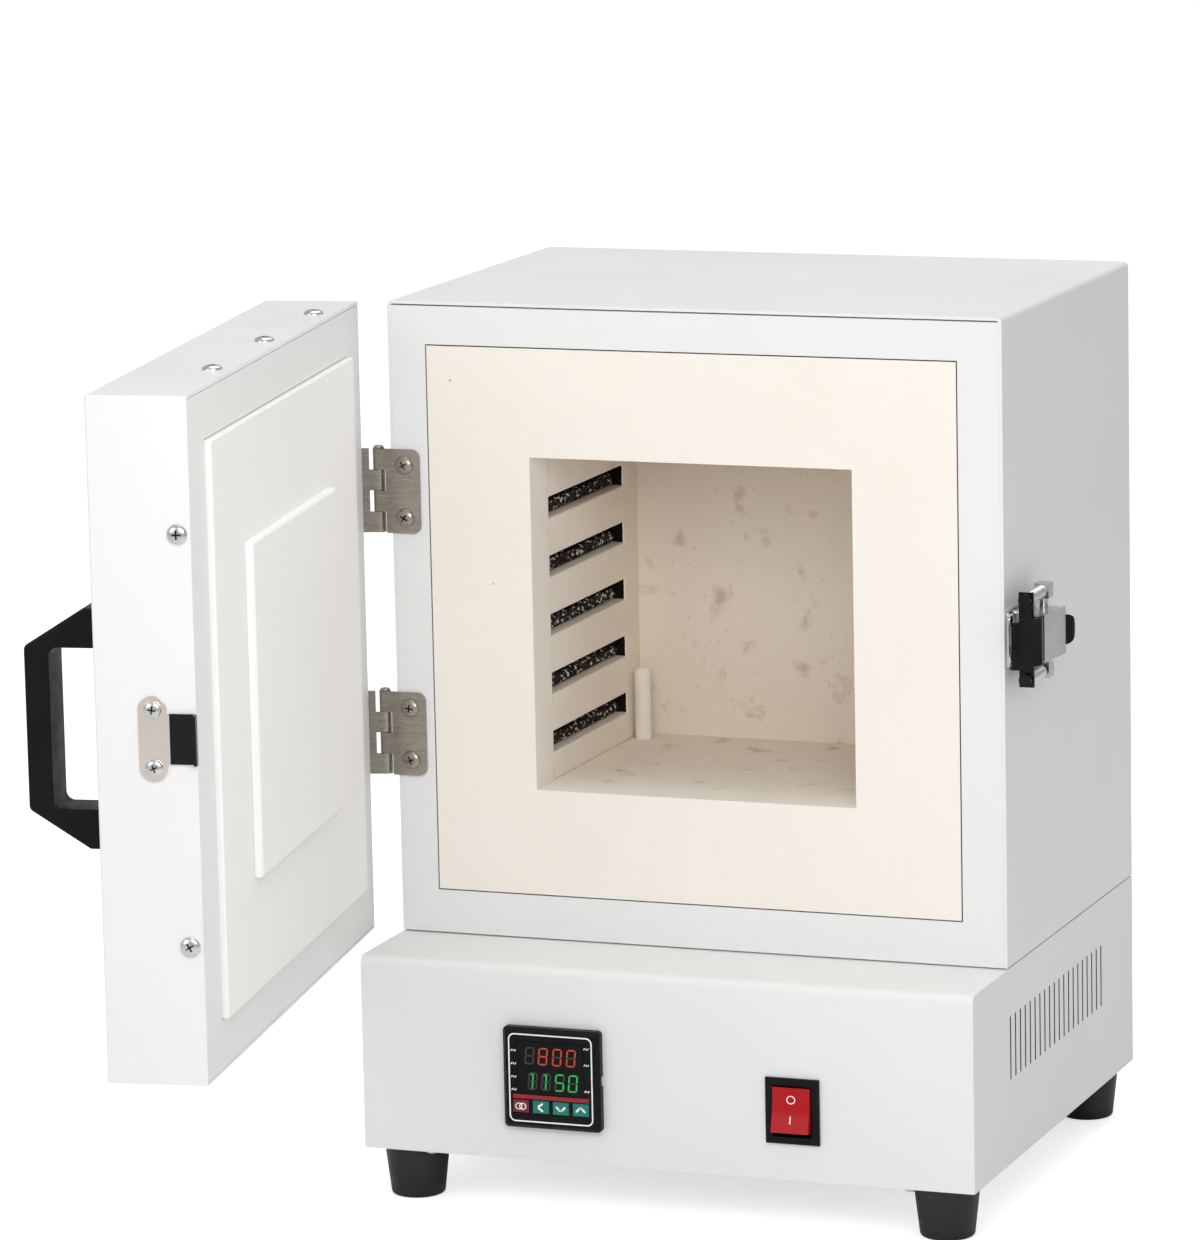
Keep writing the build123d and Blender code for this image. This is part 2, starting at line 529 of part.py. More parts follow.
rocker = prism([(-ROCKER_MID, 0), (-ROCKER_END, half_l), (-ROCKER_SKIRT, half_l),
                (ROCKER_SKIRT, half_l / 2), (ROCKER_SKIRT, -half_l / 2), (-ROCKER_SKIRT, -half_l),
                (-ROCKER_END, -half_l)], Plane.YZ, ROCKER_W, [(ROCKER_VALLEY_R, 0)])
rocker += rod((-ROCKER_PIN_END, 0, 0), (ROCKER_PIN_END, 0, 0), ROCKER_PIN_R)
save("rocker", Pos(SWITCH_X, ROCKER_Y, SWITCH_Z) * Rot(-ROCKER_TILT, 0, 0) * rocker)

# ---------------------------------------------------------------------------
# Power inlet on the back
# ---------------------------------------------------------------------------
INLET_FLANGE = 2.5
inlet = block(INLET_X - 24.5, INLET_X + 24.5, BACK_Y, BACK_Y + INLET_FLANGE, INLET_Z - 13, INLET_Z + 13)
inlet = fillet(inlet.edges().filter_by(Axis.Y), 5.0)
inlet += block(INLET_X - INLET_BODY_W / 2, INLET_X + INLET_BODY_W / 2, BACK_Y - 22, BACK_Y,
               INLET_Z - INLET_BODY_H / 2, INLET_Z + INLET_BODY_H / 2)
SOCKET_W = 24.2
SOCKET_H = 16.6
socket_floor = BACK_Y + INLET_FLANGE - 17.0
inlet -= block(INLET_X - SOCKET_W / 2, INLET_X + SOCKET_W / 2, socket_floor, BACK_Y + 9,
               INLET_Z - SOCKET_H / 2, INLET_Z + SOCKET_H / 2)
inlet = inlet - inlet_holes
save("power_inlet", inlet)
pin_spots = [(INLET_X - 7, INLET_Z - 2), (INLET_X + 7, INLET_Z - 2), (INLET_X, INLET_Z + 2)]
save("inlet_pins", group(block(x - 1, x + 1, socket_floor, socket_floor + 11, z - 2, z + 2)
                         for x, z in pin_spots))
save("inlet_screws", group(
    screw((x, BACK_Y + INLET_FLANGE, z), (0, 1, 0), INLET_SCREW) for x, z in inlet_spots))

# ---------------------------------------------------------------------------
# Door, laid out closed in front of the housing
# ---------------------------------------------------------------------------
DOOR_X0 = -HALF - DOOR_OVERLAP
DOOR_X1 = HALF
DOOR_Z0 = DECK_Z + DOOR_LIFT
DOOR_Z1 = TOP_Z - DOOR_DROP
DOOR_IN = FRONT_Y - DOOR_GAP
DOOR_OUT = DOOR_IN - DOOR_T
PANEL_X0 = DOOR_X0 + PANEL_BORDER_HINGE
PANEL_X1 = DOOR_X1 - PANEL_BORDER_LATCH
PANEL_Z0 = DOOR_Z0 + PANEL_BORDER_Z
PANEL_Z1 = DOOR_Z1 - PANEL_BORDER_Z
HINGE_LINE = Axis((PIN_X, PIN_Y, 0), (0, 0, 1))


def hung(shape):
    """Swing a piece of the door from its closed place to where the door stands open."""
    return shape.rotate(HINGE_LINE, -DOOR_OPEN)


shell = block(DOOR_X0, DOOR_X1, DOOR_OUT, DOOR_IN, DOOR_Z0, DOOR_Z1)
shell = fillet(shell.faces().sort_by(Axis.Y)[0].edges(), 1.2)
shell -= block(DOOR_X0 + SHEET, DOOR_X1 - SHEET, DOOR_OUT + SHEET, DOOR_IN + 1,
               DOOR_Z0 + SHEET, DOOR_Z1 - SHEET)
EDGE_SCREW_IN = 6.5
TOP_SCREW_IN = 9.5
edge_screw_y = DOOR_IN - EDGE_SCREW_IN
top_screw_y = DOOR_IN - TOP_SCREW_IN
EDGE_SCREW_LIFTS = (62.5, 242.0)
TOP_SCREW_INS = (46.0, 136.0, 226.0)
DOOR_HOLE_R = DOOR_SCREW[2] + SCREW_EASE
edge_screw_zs = [DECK_Z + lift for lift in EDGE_SCREW_LIFTS]
top_screw_xs = [DOOR_X0 + inward for inward in TOP_SCREW_INS]
edge_holes = [rod((DOOR_X1 - 12, edge_screw_y, z), (DOOR_X1 + 2, edge_screw_y, z), DOOR_HOLE_R)
              for z in edge_screw_zs]
cap_holes = [rod((x, top_screw_y, DOOR_Z1 - 12), (x, top_screw_y, DOOR_Z1 + 2), DOOR_HOLE_R)
             for x in top_screw_xs]
KEEPER_Y0 = DOOR_IN - 25.5
KEEPER_Y1 = DOOR_IN - 12.9
keeper_mid = (KEEPER_Y0 + KEEPER_Y1) / 2
keeper_zs = [LATCH_Z + s * KEEPER_SCREW_DZ for s in SIDES]
keeper_holes = [rod((DOOR_X1 - 4, keeper_mid, z), (DOOR_X1 + 4, keeper_mid, z), KEEPER_SCREW[2] + SCREW_EASE)
                for z in keeper_zs]
leaf_screw_y = PIN_Y - HINGE_SCREW_REACH
leaf_holes = [rod((DOOR_X0 - 4, leaf_screw_y, z), (DOOR_X0 + 4, leaf_screw_y, z), HINGE_HOLE_R)
              for z in hinge_screw_zs]
shell = shell - edge_holes - cap_holes - keeper_holes - leaf_holes
save("door_shell", hung(shell))

rim = block(DOOR_X0 + SHEET + SEAM, DOOR_X1 - SHEET - SEAM, DOOR_IN - RIM_FLANGE, DOOR_IN,
            DOOR_Z0 + SHEET + SEAM, DOOR_Z1 - SHEET - SEAM)
rim -= block(DOOR_X0 + 2 * SHEET + SEAM, DOOR_X1 - 2 * SHEET - SEAM, DOOR_IN - RIM_FLANGE - 1,
             DOOR_IN - SHEET, DOOR_Z0 + 2 * SHEET + SEAM, DOOR_Z1 - 2 * SHEET - SEAM)
rim -= block(PANEL_X0 - PANEL_SEAM, PANEL_X1 + PANEL_SEAM, DOOR_IN - RIM_EDGE, DOOR_IN + 1,
             PANEL_Z0 - PANEL_SEAM, PANEL_Z1 + PANEL_SEAM)
rim = rim - edge_holes - cap_holes - leaf_holes
save("door_inner_frame", hung(rim))

board_y0 = DOOR_IN - DOOR_BOARD_T
board_y1 = DOOR_IN + PANEL_RAISE
door_board = block(PANEL_X0, PANEL_X1, board_y0, board_y1, PANEL_Z0, PANEL_Z1)
save("door_board", hung(door_board))
half_plug = half_mouth - PLUG_CLEAR
plug = block(CHAMBER_X - half_plug, CHAMBER_X + half_plug, board_y1, board_y1 + PLUG_RAISE,
             MOUTH_C - half_plug, MOUTH_C + half_plug)
save("door_plug", hung(chamfer(plug.faces().sort_by(Axis.Y)[-1].edges(), 1.0)))
WOOL_IN = SHEET + WOOL_EASE
save("door_insulation", hung(block(DOOR_X0 + WOOL_IN, DOOR_X1 - WOOL_IN, DOOR_OUT + SHEET, board_y0,
                                   DOOR_Z0 + WOOL_IN, DOOR_Z1 - WOOL_IN)))

edge_screws = [screw((DOOR_X1, edge_screw_y, z), (1, 0, 0), DOOR_SCREW) for z in edge_screw_zs]
cap_screws = [screw((x, top_screw_y, DOOR_Z1), (0, 0, 1), DOOR_SCREW) for x in top_screw_xs]
save("door_screws", hung(group(edge_screws + cap_screws)))

handle_x = DOOR_X1 - HANDLE_FROM_EDGE
HANDLE_Z = DECK_Z + HANDLE_LIFT
handle = prism([(DOOR_OUT - d, HANDLE_Z + z) for z, d in HANDLE_PROFILE], Plane.YZ, HANDLE_WIDE,
               [(3.0, 2), (3.0, 3), (2.0, 1), (2.0, 4), (4.0, 7), (4.0, 8)])
handle = Pos(handle_x, 0, 0) * handle
handle = fillet(handle.edges().filter_by(Plane.YZ).filter_by(lambda e: e.center().Y < DOOR_OUT - 1), 1.2)
save("door_handle", hung(handle))

KEEPER_R = (KEEPER_Y1 - KEEPER_Y0) / 2
plate = block(DOOR_X1, DOOR_X1 + KEEPER_T, KEEPER_Y0, KEEPER_Y1,
              LATCH_Z - KEEPER_H / 2, LATCH_Z + KEEPER_H / 2)
plate = fillet(plate.edges().filter_by(Axis.X), KEEPER_R - 0.1)
hook_y = DOOR_IN + KEEPER_PAST_DOOR
tongue = prism([(DOOR_X1, KEEPER_Y1 - 3), (DOOR_X1, hook_y), (DOOR_X1 + 5.0, hook_y),
                (DOOR_X1 + 5.0, hook_y - KEEPER_T), (DOOR_X1 + KEEPER_T, hook_y - KEEPER_T),
                (DOOR_X1 + KEEPER_T, KEEPER_Y1 - 3)], Plane.XY, TONGUE_H, [(2.2, 1), (1.0, 4)])
keeper = plate + Pos(0, 0, LATCH_Z) * tongue
keeper = keeper - keeper_holes
save("keeper", hung(keeper))
save("keeper_screws", hung(group(
    screw((DOOR_X1 + KEEPER_T, keeper_mid, z), (1, 0, 0), KEEPER_SCREW) for z in keeper_zs)))

# ---------------------------------------------------------------------------
# Hinges: four knuckles each, taken in turn by the two leaves
# ---------------------------------------------------------------------------


def leaf(z_mid, rows, hole):
    """A leaf standing on +X from the pin line, with its own knuckles and notches for the others."""
    height = 4 * KNUCKLE_H
    flat = block(LEAF_NOTCH, LEAF_REACH, -KNUCKLE_R, -KNUCKLE_R + LEAF_T, -height / 2, height / 2)
    flat = fillet(flat.edges().filter_by(Axis.Y).group_by(Axis.X)[-1], LEAF_CORNER_R)
    for row in rows:
        top = height / 2 - row * KNUCKLE_H
        low = top - KNUCKLE_H
        gap = RUN * 2
        flat += block(0, LEAF_NOTCH, -KNUCKLE_R, -KNUCKLE_R + LEAF_T, low + gap, top - gap)
        flat += rod((0, 0, low + gap), (0, 0, top - gap), KNUCKLE_R)
    flat -= rod((0, 0, -height), (0, 0, height), PIN_R + RUN)
    for s in SIDES:
        flat -= rod((hole, -KNUCKLE_R - 1, s * HINGE_SCREW_DZ), (hole, 4, s * HINGE_SCREW_DZ), HINGE_HOLE_R)
    return Pos(PIN_X, PIN_Y, z_mid) * flat


fixed_leaves = []
door_leaves = []
hinge_pins = []
for z in HINGE_ZS:
    fixed_leaves.append(leaf(z, (0, 2), HINGE_SCREW_REACH))
    swung = leaf(z, (1, 3), HINGE_SCREW_REACH).mirror(Plane(origin=(PIN_X, PIN_Y, z), z_dir=(0, 1, 0)))
    door_leaves.append(swung.rotate(HINGE_LINE, -90))
    pin_top = z + 2 * KNUCKLE_H
    cap = screw((PIN_X, PIN_Y, pin_top), (0, 0, 1), PIN_CAP)
    hinge_pins.append(rod((PIN_X, PIN_Y, z - 2 * KNUCKLE_H), (PIN_X, PIN_Y, pin_top), PIN_R) + cap)
save("hinge_fixed_leaves", group(fixed_leaves))
save("hinge_door_leaves", hung(group(door_leaves)))
save("hinge_pins", group(hinge_pins))
save("hinge_screws_housing", group(
    screw((HINGE_SCREW_X, FRONT_Y - LEAF_T, z), (0, -1, 0), HINGE_SCREW) for z in hinge_screw_zs))
save("hinge_screws_door", hung(group(
    screw((DOOR_X0 - LEAF_T, leaf_screw_y, z), (-1, 0, 0), HINGE_SCREW) for z in hinge_screw_zs)))

# ---------------------------------------------------------------------------
# Draw latch on the housing's right side
# ---------------------------------------------------------------------------


def at_latch(shape):
    """Move a latch piece from its own corner to the housing's front right edge."""
    return Pos(HALF, FRONT_Y, LATCH_Z) * shape


EAR_T = 1.5
EAR_Z = 11.6
px, py = LEVER_PIVOT
qx, qy = CLAW_PIVOT
base = block(0, SHEET, LATCH_PLATE[0], LATCH_PLATE[1], -LATCH_PLATE[2], LATCH_PLATE[2])
base = fillet(base.edges().filter_by(Axis.X), 2.5)
ear = prism([(0, py - 5.5), (px + 3.5, py - 5.5), (px + 3.5, py + 4.5), (SHEET, py + 8), (0, py + 8)],
            Plane.XY, EAR_T, [(3.5, 1), (3.5, 2)])
for s in SIDES:
    base += Pos(0, 0, s * (EAR_Z + EAR_T / 2)) * ear
base -= rod((px, py, -20), (px, py, 20), LATCH_PIN_R + RUN)
for y in RIVET_YS:
    for s in SIDES:
        base -= rod((-1, y, s * RIVET_DZ), (4, y, s * RIVET_DZ), RIVET_HOLE_R)
save("latch_base", at_latch(base))
save("latch_rivets", group(screw((HALF + SHEET, y, z), (1, 0, 0), RIVET) for y, z in rivet_spots))
pivot = rod((px, py, -EAR_Z - EAR_T - 0.3), (px, py, EAR_Z + EAR_T + 0.3), LATCH_PIN_R)
for s in SIDES:
    pivot += rod((px, py, s * (EAR_Z + EAR_T + 0.3)), (px, py, s * (EAR_Z + EAR_T + 1.5)), 3.0)
save("latch_pivot_pin", at_latch(pivot))

WEB_T = 1.4
CHEEK_Z = 9.0
web = prism([(14.4, py - 3.2), (14.4 + WEB_T, py - 3.2), (18.4, 36.0), (18.4 - WEB_T, 36.0)], Plane.XY, 22.0)
cheek = prism([(3.8, py - 3.2), (14.6, py - 3.2), (17.2, 36.0), (13.0, 38.4), (6.0, 38.4)], Plane.XY, WEB_T,
              [(3.0, 0), (2.5, 3), (2.5, 4)])
lever = web
for s in SIDES:
    lever += Pos(0, 0, s * (CHEEK_Z + WEB_T / 2)) * cheek
lever -= rod((px, py, -20), (px, py, 20), LATCH_PIN_R + RUN)
lever -= rod((qx, qy, -20), (qx, qy, 20), LATCH_PIN_R + RUN)
save("latch_lever", at_latch(lever))
GRIP_R = 7.0
grip = prism([(16.8, 36.0), (18.6, 36.0), (21.0, 40.5), (20.6, 45.0), (19.2, 44.8), (19.1, 41.0)],
             Plane.XY, 2 * GRIP_R, [(4.0, 2), (3.0, 5)])
grip &= rod((0, 36.0, 0), (30, 36.0, 0), GRIP_R)
save("latch_grip", at_latch(grip))

CLAW_WEB = (6.1, 7.6)
claw = prism([(6.6, -11.0), (9.8, -11.0), (16.3, 5.0), (16.3, CLAW_WEB[1]), (5.0, CLAW_WEB[1]),
              (5.0, CLAW_WEB[0]), (14.8, CLAW_WEB[0]), (14.8, 5.3), (8.8, -9.6), (6.6, -9.6)],
             Plane.XY, 22.0, [(2.0, 1), (3.0, 2), (1.0, 8)])
claw += block(5.0, 12.0, CLAW_WEB[0], CLAW_WEB[1], -22.0, 22.0)
for s in SIDES:
    claw -= rod((qx, 0, s * ROD_DZ), (qx, 20, s * ROD_DZ), ROD_R + RUN)
save("latch_claw", at_latch(claw))
rods = []
springs = []
BLOCK_HALF = 3.5
bar = rod((qx, qy, -ROD_DZ), (qx, qy, ROD_DZ), LATCH_PIN_R)
for s in SIDES:
    z = s * ROD_DZ
    stem = rod((qx, CLAW_WEB[0], z), (qx, 41.0, z), ROD_R)
    stem += rod((qx, CLAW_WEB[0] - 2.6, z), (qx, CLAW_WEB[0], z), 3.0)
    stem += rod((qx, qy + BLOCK_HALF + 0.2, z), (qx, qy + BLOCK_HALF + 2.4, z), 2.9)
    rods.append(stem)
    sleeve = rod((qx, CLAW_WEB[1] + 0.2, z), (qx, qy - BLOCK_HALF - 0.2, z), SPRING_R)
    springs.append(sleeve - rod((qx, 0, z), (qx, qy, z), ROD_R + 0.3))
    bar += block(qx - BLOCK_HALF, qx + BLOCK_HALF, qy - BLOCK_HALF, qy + BLOCK_HALF, z - BLOCK_HALF, z + BLOCK_HALF)
    bar -= rod((qx, 0, z), (qx, 50, z), ROD_R + RUN)
save("latch_rods", at_latch(group(rods)))
save("latch_springs", at_latch(group(springs)))
save("latch_trunnion", at_latch(bar))
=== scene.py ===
# %% [markdown]
# A small bench-top muffle furnace: a white powder-coated case, a fibre-board chamber with heating coils
# in grooves, a heavy side-hinged door, a draw latch, and a base with a controller and a rocker switch.
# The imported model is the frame. Its pieces stay where they are, and this script dresses them and adds
# what is too fine for the solids: cross-head screws, wire coils, springs, digits and marks.

# %% Load the frame
import json
import math
import bmesh
import bpy
from mathutils import Matrix, Vector


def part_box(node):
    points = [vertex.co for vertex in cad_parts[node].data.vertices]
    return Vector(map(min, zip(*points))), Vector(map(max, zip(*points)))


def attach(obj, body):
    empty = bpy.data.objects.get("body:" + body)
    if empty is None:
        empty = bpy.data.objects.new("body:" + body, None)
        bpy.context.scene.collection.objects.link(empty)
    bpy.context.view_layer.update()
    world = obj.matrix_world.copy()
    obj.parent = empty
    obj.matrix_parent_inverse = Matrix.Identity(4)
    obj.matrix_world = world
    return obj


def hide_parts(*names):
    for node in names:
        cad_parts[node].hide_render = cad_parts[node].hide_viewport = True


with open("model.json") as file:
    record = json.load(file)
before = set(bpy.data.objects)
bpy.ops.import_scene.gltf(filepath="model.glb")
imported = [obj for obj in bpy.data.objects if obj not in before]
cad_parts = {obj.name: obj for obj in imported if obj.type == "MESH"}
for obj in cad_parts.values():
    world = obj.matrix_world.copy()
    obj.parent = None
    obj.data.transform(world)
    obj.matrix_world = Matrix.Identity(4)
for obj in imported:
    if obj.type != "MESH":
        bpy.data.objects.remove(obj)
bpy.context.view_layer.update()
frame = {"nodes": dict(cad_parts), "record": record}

MM = 0.001
NODES = frame["nodes"]
RECORD = frame["record"]
BODY_OF = {node: body for body, group in RECORD["behaviour"]["bodies"].items() for node in group}
SLOT_OF = {row["node"]: row["material_slot"] for row in RECORD["subparts"]}
JOINTS = {joint["name"]: joint for joint in RECORD["behaviour"]["joints"]}

# %% [markdown]
# Small helpers for meshes and for shader maths, where a value may be a socket or a plain number.


# %% Helpers for meshes and node maths
def mesh_of(name, data):
    """A mesh made from a bmesh, which is then freed."""
    mesh = bpy.data.meshes.new(name)
    data.to_mesh(mesh)
    data.free()
    return mesh


def link_object(name, content):
    """A new object in the scene that holds a mesh, a lamp or a camera."""
    obj = bpy.data.objects.new(name, content)
    bpy.context.scene.collection.objects.link(obj)
    return obj


def feed(tree, socket, value):
    """Links a socket to an input, or sets a plain value on it."""
    if isinstance(value, bpy.types.NodeSocket):
        tree.links.new(value, socket)
    else:
        socket.default_value = value


def maths(tree, operation, *values, kind="ShaderNodeMath", result=0):
    """A maths node on its values; gives the output socket with the result."""
    node = tree.nodes.new(kind)
    node.operation = operation
    for socket, value in zip(node.inputs, values):
        feed(tree, socket, value)
    return node.outputs[result]


def vectors(tree, operation, *values, result=0):
    """The same for vectors."""
    return maths(tree, operation, *values, kind="ShaderNodeVectorMath", result=result)


def axes(tree, vector):
    """The X, Y and Z outputs of a vector."""
    node = tree.nodes.new("ShaderNodeSeparateXYZ")
    tree.links.new(vector, node.inputs[0])
    return node.outputs


print("helpers ready")

# %% [markdown]
# The camera stands well back and a little to the right, with a long lens, so the box edges stay nearly
# parallel. Azimuth, elevation and roll turn it; the target is a point in the door opening. The frame is
# 1200 by 1240, so the lens is worked out from the focal length in pixels of the taller side.

# %% Camera
FRAME_H = 1240
FOCAL_PX = 6468.4
AZIMUTH = math.radians(20.878)
ELEVATION = math.radians(10.299)
ROLL = math.radians(-1.204)
DISTANCE = 3.0123
TARGET = Vector((-0.0467, -0.0775, 0.2722))

back = Vector((math.sin(AZIMUTH) * math.cos(ELEVATION), -math.cos(AZIMUTH) * math.cos(ELEVATION),
               math.sin(ELEVATION)))
level = Vector((math.cos(AZIMUTH), math.sin(AZIMUTH), 0))
upright = back.cross(level)
right = level * math.cos(ROLL) + upright * math.sin(ROLL)
up = upright * math.cos(ROLL) - level * math.sin(ROLL)
place = Matrix((right, up, back)).transposed().to_4x4()
place.translation = TARGET + back * DISTANCE

lens = bpy.data.cameras.new("camera")
lens.sensor_fit = "VERTICAL"
lens.sensor_height = 36
lens.sensor_width = 36
lens.lens = 36 * FOCAL_PX / FRAME_H
lens.clip_end = 50
camera = link_object("camera", lens)
camera.matrix_world = place
bpy.context.scene.camera = camera
print("lens", round(lens.lens, 1), "mm")

# %% [markdown]
# Light: a studio with soft boxes. A large one in front and to the left lights the front faces, and the
# open door shades the hinge side from it. Two small ones near the front reach the door's inner side and
# the chamber, and two overhead make the top bright. The world gives an even fill. White behind the
# object comes from what the camera sees, not from more light.

# %% World and lamps
view = bpy.context.scene.view_settings
view.view_transform = "Standard"


def soft_box(name, spot, aim, size, power):
    """A rectangular area lamp at one point, aimed at another."""
    data = bpy.data.lights.new(name, "AREA")
    data.shape = "RECTANGLE"
    data.size, data.size_y = size
    data.energy = power
    lamp = link_object(name, data)
    lamp.matrix_world = (Vector(aim) - Vector(spot)).to_track_quat("-Z", "Y").to_matrix().to_4x4()
    lamp.matrix_world.translation = spot
    lamp.visible_camera = False


soft_box("key_left", (-1.3, -2.3, 1.2), (0, 0, 0.2), (1.6, 1.6), 10)
soft_box("side_right", (0.55, -1.1, 0.75), (-0.13, -0.2, 0.27), (0.5, 0.5), 3.3)
soft_box("near_front", (0.14, -0.85, 0.62), (-0.1, -0.1, 0.27), (0.4, 0.4), 1.0)
soft_box("top", (0, 0.1, 2.4), (0, 0, 0.3), (1.6, 1.6), 13)
soft_box("top_back", (0.2, 0.9, 1.8), (0, 0, 0.4), (1.0, 1.0), 3.8)


FILL = 0.52
SEEN = 1.0
world = bpy.data.worlds.new("studio")
bpy.context.scene.world = world
world.use_nodes = True
tree = world.node_tree
tree.nodes.clear()
path = tree.nodes.new("ShaderNodeLightPath")
mix = tree.nodes.new("ShaderNodeMixShader")
seen = maths(tree, "MAXIMUM", path.outputs["Is Camera Ray"], path.outputs["Is Transmission Ray"])
tree.links.new(seen, mix.inputs[0])
for index, strength in ((1, FILL), (2, SEEN)):
    sky = tree.nodes.new("ShaderNodeBackground")
    sky.inputs["Color"].default_value = (1, 1, 1, 1)
    sky.inputs["Strength"].default_value = strength
    tree.links.new(sky.outputs[0], mix.inputs[index])
world_out = tree.nodes.new("ShaderNodeOutputWorld")
tree.links.new(mix.outputs[0], world_out.inputs["Surface"])

# %% [markdown]
# The floor is one large pale sheet. It keeps a soft contact shadow, and a little glow seen only by the
# camera lifts it to the white of the background.

# %% Floor
FLOOR_HALF = 6
FLOOR_Z = -0.0001
FLOOR_GLOW = 0.62
data = bmesh.new()
bmesh.ops.create_grid(data, x_segments=1, y_segments=1, size=FLOOR_HALF)
bmesh.ops.translate(data, verts=data.verts, vec=(0, 0, FLOOR_Z))
floor = link_object("floor", mesh_of("floor", data))

floor_paint = bpy.data.materials.new("studio_floor")
floor_paint.use_nodes = True
tree = floor_paint.node_tree
sheet = tree.nodes["Principled BSDF"]
sheet.inputs["Base Color"].default_value = (0.8, 0.8, 0.8, 1)
sheet.inputs["Roughness"].default_value = 0.9
sheet.inputs["Specular IOR Level"].default_value = 0.1
sheet.inputs["Emission Color"].default_value = (1, 1, 1, 1)
path = tree.nodes.new("ShaderNodeLightPath")
glow = maths(tree, "MULTIPLY", path.outputs["Is Camera Ray"], FLOOR_GLOW)
tree.links.new(glow, sheet.inputs["Emission Strength"])
floor.data.materials.append(floor_paint)
print("floor ready")

# %% [markdown]
# Three effects come back in many finishes, so each is a node group: a slow drift of tone, a fine grain
# for bumps, and scattered specks. They put out only colours and values; the shader stays in the material.


# %% Node groups
def new_group(name, inputs, outputs):
    """An empty shader group with named sockets and its input and output nodes."""
    group = bpy.data.node_groups.new(name, "ShaderNodeTree")
    for label, kind, value in inputs:
        socket = group.interface.new_socket(name=label, in_out="INPUT", socket_type=kind)
        socket.default_value = value
    for label, kind in outputs:
        group.interface.new_socket(name=label, in_out="OUTPUT", socket_type=kind)
    return group, group.nodes.new("NodeGroupInput"), group.nodes.new("NodeGroupOutput")


def noise(tree, coordinate, scale, detail=4.0, rough=0.55):
    """A noise texture on a coordinate; scale may be a number or a socket."""
    node = tree.nodes.new("ShaderNodeTexNoise")
    node.inputs["Detail"].default_value = detail
    node.inputs["Roughness"].default_value = rough
    tree.links.new(coordinate, node.inputs["Vector"])
    feed(tree, node.inputs["Scale"], scale)
    return node


def ramp(tree, value, low, high, a=(0, 0, 0, 1), b=(1, 1, 1, 1)):
    """A two-stop colour ramp from low to high."""
    node = tree.nodes.new("ShaderNodeValToRGB")
    node.color_ramp.elements[0].position = low
    node.color_ramp.elements[1].position = high
    node.color_ramp.elements[0].color = a
    node.color_ramp.elements[1].color = b
    tree.links.new(value, node.inputs["Fac"])
    return node


drift, drift_in, drift_out = new_group(
    "tone_drift",
    [("Vector", "NodeSocketVector", (0, 0, 0)), ("Scale", "NodeSocketFloat", 8.0),
     ("Light", "NodeSocketColor", (1, 1, 1, 1)), ("Dark", "NodeSocketColor", (0.9, 0.9, 0.9, 1))],
    [("Color", "NodeSocketColor"), ("Mask", "NodeSocketFloat")])
cloud = noise(drift, drift_in.outputs["Vector"], drift_in.outputs["Scale"], 5.0)
spread = ramp(drift, cloud.outputs["Fac"], 0.3, 0.7)
blend = drift.nodes.new("ShaderNodeMix")
blend.data_type = "RGBA"
drift.links.new(spread.outputs["Color"], blend.inputs["Factor"])
drift.links.new(drift_in.outputs["Light"], blend.inputs["A"])
drift.links.new(drift_in.outputs["Dark"], blend.inputs["B"])
drift.links.new(blend.outputs["Result"], drift_out.inputs["Color"])
drift.links.new(spread.outputs["Color"], drift_out.inputs["Mask"])

grain, grain_in, grain_out = new_group(
    "fine_grain",
    [("Vector", "NodeSocketVector", (0, 0, 0)), ("Scale", "NodeSocketFloat", 900.0),
     ("Coarse Share", "NodeSocketFloat", 0.4)],
    [("Height", "NodeSocketFloat")])
small = noise(grain, grain_in.outputs["Vector"], grain_in.outputs["Scale"], 2.0)
COARSER = 0.22
coarse = maths(grain, "MULTIPLY", grain_in.outputs["Scale"], COARSER)
large = noise(grain, grain_in.outputs["Vector"], coarse, 3.0)
heights = grain.nodes.new("ShaderNodeMix")
grain.links.new(grain_in.outputs["Coarse Share"], heights.inputs["Factor"])
grain.links.new(small.outputs["Fac"], heights.inputs["A"])
grain.links.new(large.outputs["Fac"], heights.inputs["B"])
grain.links.new(heights.outputs["Result"], grain_out.inputs["Height"])

specks, specks_in, specks_out = new_group(
    "specks",
    [("Vector", "NodeSocketVector", (0, 0, 0)), ("Scale", "NodeSocketFloat", 300.0),
     ("Size", "NodeSocketFloat", 0.18)],
    [("Mask", "NodeSocketFloat")])
cells = specks.nodes.new("ShaderNodeTexVoronoi")
specks.links.new(specks_in.outputs["Vector"], cells.inputs["Vector"])
specks.links.new(specks_in.outputs["Scale"], cells.inputs["Scale"])
BARE_CELLS = 0.72
apart = specks.nodes.new("ShaderNodeSeparateColor")
specks.links.new(cells.outputs["Color"], apart.inputs["Color"])
inside = maths(specks, "LESS_THAN", cells.outputs["Distance"], specks_in.outputs["Size"])
some = maths(specks, "GREATER_THAN", apart.outputs["Red"], BARE_CELLS)
specks.links.new(maths(specks, "MULTIPLY", inside, some), specks_out.inputs["Mask"])
print("groups", [g.name for g in bpy.data.node_groups])


# %% [markdown]
# Every finish starts in the same way: a shader with plain values on its own sockets and Object
# coordinates. Tone, a wandering roughness and a bump of a real height in metres are then added.

# %% Helpers for materials
def start_material(name, rough, metal=0.0, **plain):
    """A material with its shader, plain values set on the shader's own sockets, and Object coordinates."""
    made = bpy.data.materials.new(name)
    made.use_nodes = True
    tree = made.node_tree
    shader = tree.nodes["Principled BSDF"]
    shader.inputs["Roughness"].default_value = rough
    shader.inputs["Metallic"].default_value = metal
    for key, value in plain.items():
        shader.inputs[key.replace("_", " ")].default_value = value
    where = tree.nodes.new("ShaderNodeTexCoord").outputs["Object"]
    return made, tree, shader, where


